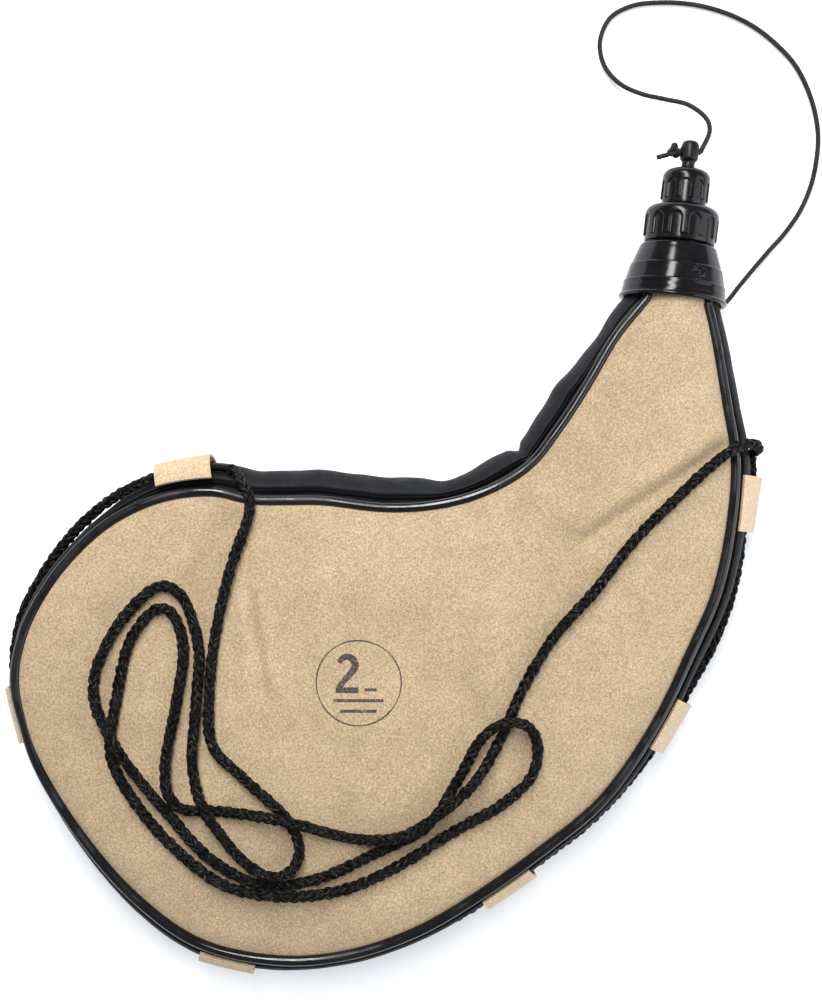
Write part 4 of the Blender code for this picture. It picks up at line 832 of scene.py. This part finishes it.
def gusset_skin(outline, finish):
    """The side wall with the small folds that a curved strip takes up when it is sewn in."""
    half, middle = outline.half(), outline.middle()
    inside_bend = np.exp(-((outline.run / outline.total - 0.165) / 0.05) ** 2) + 0.35
    near_neck = smoothed(outline.from_ends() / (12 * MM))
    bends = 0 * outline.run
    for pixel, half_width, push in GUSSET_BENDS:
        spot = ruler_point(*pixel, middle[0])
        nearest = outline.run[np.argmin(np.linalg.norm(outline.point[:, :2] - spot[:2], axis=1))]
        bends += push * MM * np.exp(-((outline.run - nearest) / (half_width * MM)) ** 2)
    upper, lower = [], []
    for angle in math.pi * (0.5 - np.arange(GUSSET_STEPS + 1) / GUSSET_STEPS):
        swell, rise = math.cos(angle), math.sin(angle)
        spot = outline.at(outline.belly(angle), middle + half * rise)
        crumple = noise_at(spot * np.array([1, 1, 0.35]), 13 * MM, 3.0) + 0.4 * noise_at(spot, 6 * MM, 8.0)
        valley = 4.6 * MM * math.exp(-((math.degrees(angle) - 76) / 8) ** 2) * near_neck
        push = (0.75 * MM * crumple * inside_bend * max(swell, 0.0) ** 1.5 + bends * swell) * near_neck
        upper.append(outline.at(outline.belly(angle) + push, middle + half * rise - valley))
        under = middle + (half - GUSSET_THICKNESS * abs(rise)) * rise
        lower.append(outline.at(outline.belly(angle) + push - GUSSET_THICKNESS, under - valley))
    return shell("gusset_skin", np.stack(upper, 1), np.stack(lower, 1), finish)


def piping_bead(name, outline, offset, height, finish):
    path = even(outline.at(offset, height), 2.2 * MM)
    wave = 1 + 0.025 * noise_at(path, 7 * MM, 2.0)[:, None]
    points, faces = tube(path, PIPING_RADIUS * wave, 16)
    return make_mesh(name, points, faces, finish, sharp=80.0)


def gusset_spot(part, angle, lift):
    """Places over the gusset's belly, lifted square off its surface."""
    half, swell, rise = part.half(), math.cos(angle), math.sin(angle)
    square = unit(np.stack([half * swell, part.bulge * rise - part.tuck / 2 * swell], -1))
    offset = part.belly(angle) + square[:, 0] * lift
    return part.at(offset, part.middle() + half * rise + square[:, 1] * lift)


def strip_rows(rows, stiffness):
    """Rows across a loop, each cut to its width about its middle and drawn nearly straight."""
    middle = len(rows) // 2
    made = np.empty_like(rows)
    for step, ease in enumerate(stiffness):
        line = rows[:, step]
        run = run_of(line)
        reach = min(TAB_WIDTH / 2, run[middle], run[-1] - run[middle])
        offsets = np.linspace(-reach, reach, len(rows))
        line = sampled(line, run, run[middle] + offsets)
        straight = line[middle] + offsets[:, None] * unit(line[-1] - line[0])
        made[:, step] = line + ease * (straight - line)
    return made


def tab(name, outline, share, finish):
    """A leather loop over the sling, its long edges a little curled and its nap uneven."""
    middle = share * outline.total
    part = outline.window(middle - TAB_WIDTH / 2, middle + TAB_WIDTH / 2, TAB_ROWS)
    seat = np.radians(table_value(SLING_SEATS, part.run / part.total))
    edge = np.minimum(np.arange(TAB_ROWS), np.arange(TAB_ROWS)[::-1])
    curl = 0.15 * MM * np.exp(-edge)
    upper, lower = [], []
    for angle in TAB_REACH_ANGLE * (1 - 2 * np.arange(TAB_STEPS) / (TAB_STEPS - 1)):
        from_sling = (angle - seat) * part.half() / TAB_DRAPE
        lift = CORD_CLEARANCE + (SLING_DIAMETER + CORD_CLEARANCE) * np.exp(-from_sling ** 2)
        lower.append(gusset_spot(part, angle, lift + curl))
        upper.append(gusset_spot(part, angle, lift + TAB_THICKNESS - curl))
    stiffness = 0.8 * np.cos(TAB_REACH_ANGLE * np.linspace(1, -1, TAB_STEPS))
    upper, lower = (strip_rows(np.stack(side, 1), stiffness) for side in (upper, lower))
    dent = 0.12 * MM * noise_at(upper, 5 * MM, 4.0)[..., None]
    return shell(name, upper + unit(upper - lower) * dent, lower, finish, sharp=60.0)


def on_axis(radius, angle, place):
    """World points from a radius, an angle round the neck and a place along it, in metres."""
    ring = NECK_ACROSS * (radius * np.cos(angle))[..., None] + UP * (radius * np.sin(angle))[..., None]
    return neck_point(0, 0, NECK_HEIGHT) + ring + NECK_AXIS * place[..., None]


def arc(radius, place, bend, start, end, count):
    """Profile points round a centre, between two angles in degrees."""
    angle = np.radians(np.linspace(start, end, count))
    return list(zip(radius + bend * np.cos(angle), place + bend * np.sin(angle)))


def dense(profile, step):
    """The profile with extra points, so that no stretch is longer than a step."""
    result = []
    for (r0, a0), (r1, a1) in zip(profile, profile[1:]):
        count = max(1, math.ceil(math.hypot(r1 - r0, a1 - a0) / step))
        result += [(r0 + (r1 - r0) * part / count, a0 + (a1 - a0) * part / count) for part in range(count)]
    return result + [profile[-1]]


def turned(name, profile, sides, finish, shape=None, closed=True, sharp=40.0):
    """Turns a profile in millimetres round the neck's axis.

    shape(radius, angle, place) gives new radii; a profile that isn't closed gets flat ends.
    """
    rows = np.array(profile)
    angle = np.broadcast_to(np.arange(sides) * 2 * math.pi / sides, (len(rows), sides))
    radius = np.repeat(rows[:, :1], sides, 1)
    place = np.repeat(rows[:, 1:], sides, 1)
    if shape:
        radius = shape(radius, angle, place)
    points = on_axis(radius * MM, angle, place * MM).reshape(-1, 3)
    first = np.arange(sides)
    last = first + len(points) - sides
    ends = [last, np.roll(last, -1), np.roll(first, -1), first]
    closing = np.stack(ends, -1).tolist() if closed else [first.tolist(), last.tolist()]
    return make_mesh(name, points, grid_faces(len(rows), sides, wrap=True) + closing, finish, sharp)


def flutes(count, phase, radius, width, start, length):
    """Arched scoops cut into a cap's wall, with softened edges."""
    turn = 2 * math.pi / count
    half = width / 2
    floor = radius - FLUTE_DEPTH

    def shape(r, angle, place):
        across = (((angle - phase) / turn) % 1.0 - 0.5) * turn * radius
        up = place - start
        inside = half - np.hypot(across, np.maximum(up - (length - half), 0))
        scoop = smoothed(inside / 0.55 + 0.5) * (up > 0)
        return np.where(r > floor, r + (floor - r) * scoop, r)
    return shape


def thread(pitch, wall, start, end, fade, depth):
    """A screw thread on a wall, fading in and out at both ends of its stretch."""
    def shape(r, angle, place):
        phase = (place / pitch - angle / (2 * math.pi)) % 1.0
        ridge = smoothed(1.6 * (1 - np.abs(2 * phase - 1)) - 0.5)
        ridge *= smoothed((place - start) / fade) * smoothed((end - place) / fade)
        return np.where(np.abs(r - wall) < 0.001, r + depth * ridge, r)
    return shape


def collar(finish):
    """A cone with two thin step lines, one soft ridge near the mouth and a beaded rim."""
    profile = [
        (21.9, 0.0), (22.9, 0.0), *arc(23.25, 0.95, 0.95, -70, 75, 9), (23.45, 2.3),
        (23.32, 2.9), (23.25, 3.5), (23.2, 4.2), (23.12, 4.9), (22.95, 5.6),
        (22.85, 6.9), *arc(22.6, 7.55, 0.25, 0, 90, 5), (22.42, 7.9), (22.3, 8.3), (21.6, 11.2),
        (20.95, 14.1), *arc(20.55, 14.95, 0.25, 0, 90, 5), (20.4, 15.3), (20.25, 15.7),
        (19.2, 18.8), (18.1, 22.0), (17.6, 23.3), *arc(15.9, 23.65, 1.55, 18, 90, 9),
        (12.3, 25.2), (12.3, 23.6), (15.2, 23.6), (18.5, 15.2), (20.3, 6.6), (21.9, 5.0),
    ]
    return turned("collar", dense(profile, COLLAR_STEP), 160, finish, sharp=60.0)


def cap_wall(r, base, length, shoulder_end, shoulder_steps):
    """A cap's profile from its mouth to its shoulder: a plain ring, then the wall for the flutes."""
    floor, ring, shoulder = r - FLUTE_DEPTH, base + CAP_BASE_RING, base + length - SHOULDER_RADIUS
    return [
        *arc(floor - 0.4, base + 0.4, 0.4, -90, 0, 5), (floor, ring - 0.25), (floor + 0.1, ring - 0.02),
        (r - 0.25, ring + 0.05), *dense([(r, ring + 0.4), (r, shoulder)], 0.3),
        *arc(r - SHOULDER_RADIUS, shoulder, SHOULDER_RADIUS, 4, shoulder_end, shoulder_steps),
    ]


def big_cap(finish):
    r, base = FILLER_CAP_RADIUS, FILLER_SEAT
    top, inner, roof = base + FILLER_CAP_LENGTH, FILLER_NECK_RADIUS + 0.6, FILLER_ROOF
    profile = [
        (inner, base), *cap_wall(r, base, FILLER_CAP_LENGTH, 86, 14),
        (11.6, top), (10.9, top - 0.25), (5.9, top - 0.25), (5.9, roof + 1.5), (8.7, roof + 1.5),
        (8.7, roof), (inner, roof),
    ]
    shape = flutes(12, math.radians(3), r, 5.4, base + CAP_BASE_RING - 0.1, 9.6)
    return turned("filler_screw_cap", profile, 360, finish, shape, sharp=55.0)


def small_cap(finish):
    r, base, top, inner = SPOUT_CAP_RADIUS, SPOUT_CAP_SEAT, KNOB_BASE, SPOUT_RADIUS + 0.6
    profile = [
        (0.05, SPOUT_TIP + 2), (inner, SPOUT_TIP + 2), (inner, base),
        *cap_wall(r, base, SPOUT_CAP_LENGTH, 80, 12),
        (4.6, top + 0.1), (3.6, top + 0.5), (3.05, top + 1.2), (2.9, top + 2.0),
    ]
    shape = flutes(10, math.radians(10), r, 4.2, base + CAP_BASE_RING - 0.1, 8.4)
    return turned("spout_screw_cap", profile, 300, finish, shape, closed=False, sharp=55.0)


def knob(finish):
    """The drilled knob on the small cap."""
    profile = [
        (4.4, -0.6), (4.3, 0.1), (3.75, 0.5), (3.3, 1.1), (3.0, 1.9), (2.9, 2.8), (2.95, 3.5),
        (3.15, 4.0), (3.5, 4.35), (3.85, 4.75), (4.05, 5.4), (4.14, 6.4), (4.18, 7.8), (4.15, 9.3),
        (4.02, 10.6), (3.76, 11.7), (3.3, 12.6), (2.55, 13.15), (1.5, 13.4), (0.05, 13.5),
    ]
    profile = catmull([(radius, KNOB_BASE + place) for radius, place in profile], 4)
    made = turned("tether_knob", profile, 72, finish, closed=False, sharp=50.0)
    hole = np.array([(-5.2, 2.6), (-4.3, 1.95), (-3.4, 1.32), (0, 1.3), (3.4, 1.32), (4.3, 1.95), (5.2, 2.6)])
    place, radius = hole[:, :1] * MM, hole[:, 1:] * MM
    points, faces = tube(neck_point(0, KNOB_DRILL_PLACE * MM, NECK_HEIGHT) + NECK_ACROSS * place, radius, 24)
    drill = make_mesh("knob_drill", points, faces, finish)
    cut = made.modifiers.new("drill", "BOOLEAN")
    cut.operation = "DIFFERENCE"
    cut.object = drill
    bpy.context.view_layer.update()
    result = bpy.data.meshes.new_from_object(made.evaluated_get(bpy.context.evaluated_depsgraph_get()))
    made.modifiers.clear()
    made.data = result
    result.set_sharp_from_angle(angle=math.radians(50))
    bpy.data.objects.remove(drill, do_unlink=True)
    return made


def knot_rings():
    """The tether's end: through the knob, round itself in an overhand knot, then a short tail."""
    turn = np.linspace(0.55, 2 * math.pi - 0.35, 22)
    across, along_axis = np.sin(turn) + 2 * np.sin(2 * turn), np.cos(turn) - 2 * np.cos(2 * turn)
    tilt = math.radians(-62)
    x = across * math.cos(tilt) - along_axis * math.sin(tilt)
    y = across * math.sin(tilt) + along_axis * math.cos(tilt)
    knot = np.stack([-7.0 + 0.72 * x, -0.6 + 0.92 * y, 0.9 * -1.3 * np.sin(3 * turn)], -1)
    lead = [(5.5, 2.2, -0.3), (5.1, 0.8, -0.1), (4.3, -0.1, 0), (2.8, -0.2, 0), (0, 0, 0), (-4.0, 0, 0)]
    tail = [(-9.5, -2.3, -0.6), (-11.2, -3.0, -0.9), (-13.0, -3.7, -1.0), (-14.2, -4.1, -1.0)]
    route = np.concatenate([lead, knot, tail]) @ np.stack([NECK_ACROSS, NECK_AXIS, UP]) * MM
    return fine_braid(neck_point(0, KNOB_DRILL_PLACE * MM, NECK_HEIGHT) + route, TETHER_DIAMETER)[0]


def filler_tube(finish):
    r, top = FILLER_NECK_RADIUS, FILLER_NECK_TOP
    profile = [
        (9.6, 8.0), (11.2, 8.0), (r, 8.8), (r, 21.7), (13.8, 21.7), (13.8, 23.3), (r, 23.3),
        (r, 26.0), *dense([(r, 26.2), (r, top - 0.8)], 0.22), (11.2, top),
        *arc(10.1, top - 0.5, 0.5, 90, 180, 5),
    ]
    return turned("filler_tube", profile, 96, finish, thread(3, r, 26.6, top - 1, 1.5, 0.42), sharp=50.0)


def spout_tube(finish):
    r, start, top = SPOUT_RADIUS, FILLER_ROOF, SPOUT_TIP
    profile = [
        (2.2, start), (8.4, start), (8.4, start + 1.2), (r, start + 1.2), (r, 43.8),
        *dense([(r, 44.0), (r, top - 0.9)], 0.18), *arc(4.8, top - 0.8, 0.8, 10, 90, 5),
        (1.1, top), (1.1, top - 5.6), (2.2, top - 7.8),
    ]
    return turned("spout_tube", profile, 72, finish, thread(2, r, 44.6, top - 1.2, 1.2, 0.4), sharp=50.0)


# Stamp: its middle in the photo and above the surface, and its ink's place over the skin
STAMP_PIXEL = (358.5, 683.3)
STAMP_HEIGHT = 51 * MM
STAMP_LIFT = 0.12 * MM
# Ring radius, and left end, right end and place of the dash and the two bars, in mm from the middle
STAMP_RADIUS = 18.4
STAMP_BARS = ((2.6, 7.8, -2.9), (-10.8, 10.8, -7.6), (-7.8, 7.8, -12.2))
STROKE_COLUMNS = 5
DRAPE_START = 200 * MM


def surface_tree(piece):
    """A search tree over a piece's faces."""
    mesh = piece.data
    return BVHTree.FromPolygons([v.co for v in mesh.vertices], [tuple(f.vertices) for f in mesh.polygons])


def drape(tree, spots, lift):
    """Plan points laid on a surface from above."""
    heights = [tree.ray_cast(Vector((x, y, DRAPE_START)), Vector(-UP))[0].z for x, y in spots]
    return np.column_stack([spots, heights]) + UP * lift


def print_strokes(name, tree, strokes, lift, finish):
    """Flat ink strokes on a surface: each a row of left points and a row of right points."""
    share = np.linspace(0, 1, STROKE_COLUMNS)[None, :, None]
    points, faces = np.empty((0, 3)), []
    for left, right in strokes:
        grid = left[:, None] * (1 - share) + right[:, None] * share
        faces += grid_faces(*grid.shape[:2], start=len(points))
        points = np.concatenate([points, drape(tree, grid.reshape(-1, 2), lift)])
    return make_mesh(name, points, faces, finish)


def ribbon(line, widths):
    """Left and right edges of a stroke along a line."""
    way = unit(np.gradient(line, axis=0))
    side = np.stack([-way[:, 1], way[:, 0]], -1) * (np.asarray(widths) * np.ones(len(line)) / 2)[:, None]
    return line + side, line - side


def stamp(tree, finish):
    """A thin ring with a plain numeral, a dash and two bars, drawn in millimetres from its middle."""
    centre = ruler_point(*STAMP_PIXEL, STAMP_HEIGHT)[:2]
    angle = np.linspace(0, 2 * math.pi, 181)
    wobble = 1 + 0.006 * np.sin(3 * angle + 0.5)
    ring = STAMP_RADIUS * wobble[:, None] * np.stack([np.cos(angle), np.sin(angle)], -1)
    bend = np.radians(np.linspace(165, -38, 26))
    arch = np.stack([3.5 * np.cos(bend), 4.6 + 3.5 * np.sin(bend)], -1)
    slope = [(2.3, 1.9), (0.9, 0.2), (-1.0, -1.9), (-2.6, -3.9), (-3.6, -5.4)]
    numeral = catmull(np.concatenate([arch[::3], slope]), 4)
    widths = np.interp(np.linspace(0, 1, len(numeral)), [0, 0.15, 0.5, 0.75, 1], [2.0, 2.5, 3.3, 2.6, 2.4])
    corner = np.array([-5.0, 3.2])
    foot = np.stack([np.linspace(-4.9, 4.9, 9), np.full(9, -6.3)], -1)
    lines = [(ring, 0.55 + 0.12 * np.sin(5 * angle)), (corner + numeral, widths), (corner + foot, 2.5)]
    for low, high, height in STAMP_BARS:
        count = int((high - low) / 0.8)
        lines.append((np.stack([np.linspace(low, high, count), np.full(count, height)], -1), 1.3))
    strokes = [ribbon(centre + line * MM, width * MM) for line, width in lines]
    return print_strokes("stamp", tree, strokes, STAMP_LIFT, finish)


def liner(finish):
    """The bladder: its solid, shaded smooth."""
    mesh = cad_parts["bladder"].data.copy()
    mesh.materials.clear()
    mesh.materials.append(finish)
    mesh.shade_smooth()
    made = bpy.data.objects.new("liner", mesh)
    bpy.context.scene.collection.objects.link(made)
    return made


def washer(name, bore, radius, start, finish):
    edge, end = 0.25, start + 1.4
    profile = [
        (bore, start + edge), (bore + edge, start), (radius - edge, start), (radius, start + edge),
        (radius, end - edge), (radius - edge, end), (bore + edge, end), (bore, end - edge),
    ]
    return turned(name, profile, 64, finish)


def clamp_band(finish):
    inner, outer, start, end, edge = 14.1, 15.7, 9.6, 14.6, 0.4
    profile = [
        (inner, start), *arc(outer - edge, start + edge, edge, -90, 0, 5),
        *arc(outer - edge, end - edge, edge, 0, 90, 5), (inner, end),
    ]
    return turned("clamp_band", profile, 96, finish)


def settle(piece, body, slot, *nodes):
    """Rides a piece on its body and hides the solids that it stands for; its slot is not used."""
    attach(piece, body)
    if nodes:
        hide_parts(*nodes)


# Area lights: name, place, aim, width, length, watts and colour
LIGHTS = (
    ("top", (-0.14, 0.80, 1.20), (0.02, 0.10, 0.02), 0.28, 1.20, 26.0, (1.0, 0.99, 0.98)),
    ("right", (1.3, -0.3, 0.75), (0.0, -0.05, 0.02), 1.4, 1.2, 14.0, (0.98, 0.99, 1.0)),
    ("left", (-1.1, -0.1, 0.8), (0.0, 0.0, 0.02), 1.0, 1.0, 1.0, (0.97, 0.985, 1.0)),
)
FLOOR_REACH = 3.0
FLOOR_DROP = 0.2 * MM


def studio():
    """A pale floor whose glow is painted light that lifts its shadows, three soft lights and a pale sky."""
    mesh = bpy.data.meshes.new("floor")
    corners = [(x * FLOOR_REACH, y * FLOOR_REACH, 0) for x, y in ((-1, -1), (1, -1), (1, 1), (-1, 1))]
    mesh.from_pydata(corners, [], [(0, 1, 2, 3)])
    floor = bpy.data.objects.new("floor", mesh)
    bpy.context.scene.collection.objects.link(floor)
    glow = {"Base_Color": (0.86, 0.88, 0.91, 1), "Emission_Color": (0.90, 0.95, 1.0, 1)}
    # Painted light: the floor's emission lightens the shadows that fall on it.
    mesh.materials.append(Shader("white_floor", 0.7, Emission_Strength=0.30, **glow).material)
    floor.location.z = -FLOOR_DROP
    for name, place, aim, width, length, power, color in LIGHTS:
        data = bpy.data.lights.new(name, "AREA")
        data.shape = "RECTANGLE"
        data.size, data.size_y = width, length
        data.energy = power
        data.color = color
        light = bpy.data.objects.new(name, data)
        light.location = place
        light.rotation_euler = (Vector(aim) - Vector(place)).to_track_quat("-Z", "Y").to_euler()
        bpy.context.scene.collection.objects.link(light)
    world = bpy.data.worlds.new("sky")
    world.use_nodes = True
    sky = world.node_tree.nodes["Background"].inputs
    sky["Color"].default_value = (0.94, 0.97, 1.0, 1)
    sky["Strength"].default_value = 0.30
    bpy.context.scene.world = world
    bpy.context.scene.view_settings.view_transform = "Standard"


camera()

sling_yarn = yarn("black_yarn")
tether_yarn = thin_yarn("brown_black_yarn", 0.3 * MM)
sling_route = SLING_LOOSE + SLING_HELD[::-1]
sling, sling_path = braid("sling_braid", sling_route, SLING_DIAMETER, sling_yarn)
settle(sling, "bag", "black_yarn", "sling_held", "sling_loose")

# The tether in two stretches, cut where they meet
tether_rings, tether_path = fine_braid([TETHER_TUCK, *TETHER[::-1]], TETHER_DIAMETER)
split = int(np.argmin(np.linalg.norm(tether_path - np.array(TETHER_SPLIT), axis=1)))
floor_part = cord_mesh("tether_floor_stretch", tether_rings[:split + 1], tether_yarn)
cap_part = cord_mesh("tether_cap_stretch", tether_rings[split:], tether_yarn)
knot = cord_mesh("stopper_knot", knot_rings(), tether_yarn)
settle(knot, "spout_cap", "black_yarn", "tether_knot")
for piece, path, bodies, ends, far_end, pieces in (
    (floor_part, tether_path[:split + 1], ("bag", "filler_seal"), TETHER_DRAW[0], "object", ()),
    (cap_part, tether_path[split:], ("filler_cap", "spout_seal"), TETHER_DRAW[1], "knot", (knot,)),
):
    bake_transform(piece)
    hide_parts("tether_cord")

# Spots of painted shade along the front's folds, placed in the world for the tan suede
painted_shade_spots = [
    (tuple(ruler_point(u, v, PAINTED_SHADE_HEIGHT)), core * MM, reach * MM, strength)
    for u, v, core, reach, strength in PAINTED_SHADE_SPOTS
]
tan = suede("tan_suede", (0.665, 0.513, 0.337), (0.533, 0.394, 0.249), (0.405, 0.287, 0.170), 0.12, painted_shade_spots)
pale = suede("pale_suede", (0.79, 0.61, 0.41), (0.69, 0.52, 0.34), (0.56, 0.41, 0.25), 0.06)
leather = leatherette()
bead = vinyl()
scratched = tuple(ruler_point(*SCRATCH_PIXEL, SCRATCH_HEIGHT))
skirt_plastic = cap_plastic("collar_plastic", scratched, 0.13, 0.20)
plastic = cap_plastic("black_plastic", scratched, 0.18, 0.27)
washers = rubber()

outline = Outline()
front = front_skin(outline, tan)
settle(front, "bag", "tan_suede", "front_panel")
settle(back_skin(outline, leather), "bag", "black_leatherette", "back_panel")
settle(gusset_skin(outline, leather), "bag", "black_leatherette", "gusset")
front_bead = piping_bead("front_bead", outline, 0 * outline.run, outline.top, bead)
back_bead = piping_bead("back_bead", outline, -outline.tuck, outline.bottom, bead)
settle(front_bead, "bag", "black_vinyl", "front_piping")
settle(back_bead, "bag", "black_vinyl", "back_piping")
settle(liner(film()), "bag", "clear_bladder", "bladder")
for name, share in TAB_SHARES:
    settle(tab(name.replace("tab", "loop"), outline, share, pale), "bag", "pale_suede", name)
settle(stamp(surface_tree(front), ink()), "bag", "tan_suede")

settle(collar(skirt_plastic), "bag", "black_plastic", "neck_collar")
settle(filler_tube(plastic), "bag", "black_plastic", "filler_neck")
settle(clamp_band(washers), "bag", "grey_rubber", "neck_clamp")
settle(big_cap(plastic), "filler_cap", "black_plastic", "filler_cap")
settle(spout_tube(plastic), "filler_cap", "black_plastic", "spout")
filler_washer = washer("filler_washer", 9.6, 12.0, 38.7, washers)
spout_washer = washer("spout_washer", 2.2, 5.6, 56.9, washers)
settle(filler_washer, "filler_seal", "grey_rubber", "filler_seal")
settle(spout_washer, "spout_seal", "grey_rubber", "spout_seal")
settle(small_cap(plastic), "spout_cap", "black_plastic", "spout_cap")
settle(knob(cap_plastic("knob_plastic", scratched, 0.36, 0.50)), "spout_cap", "black_plastic")

studio()
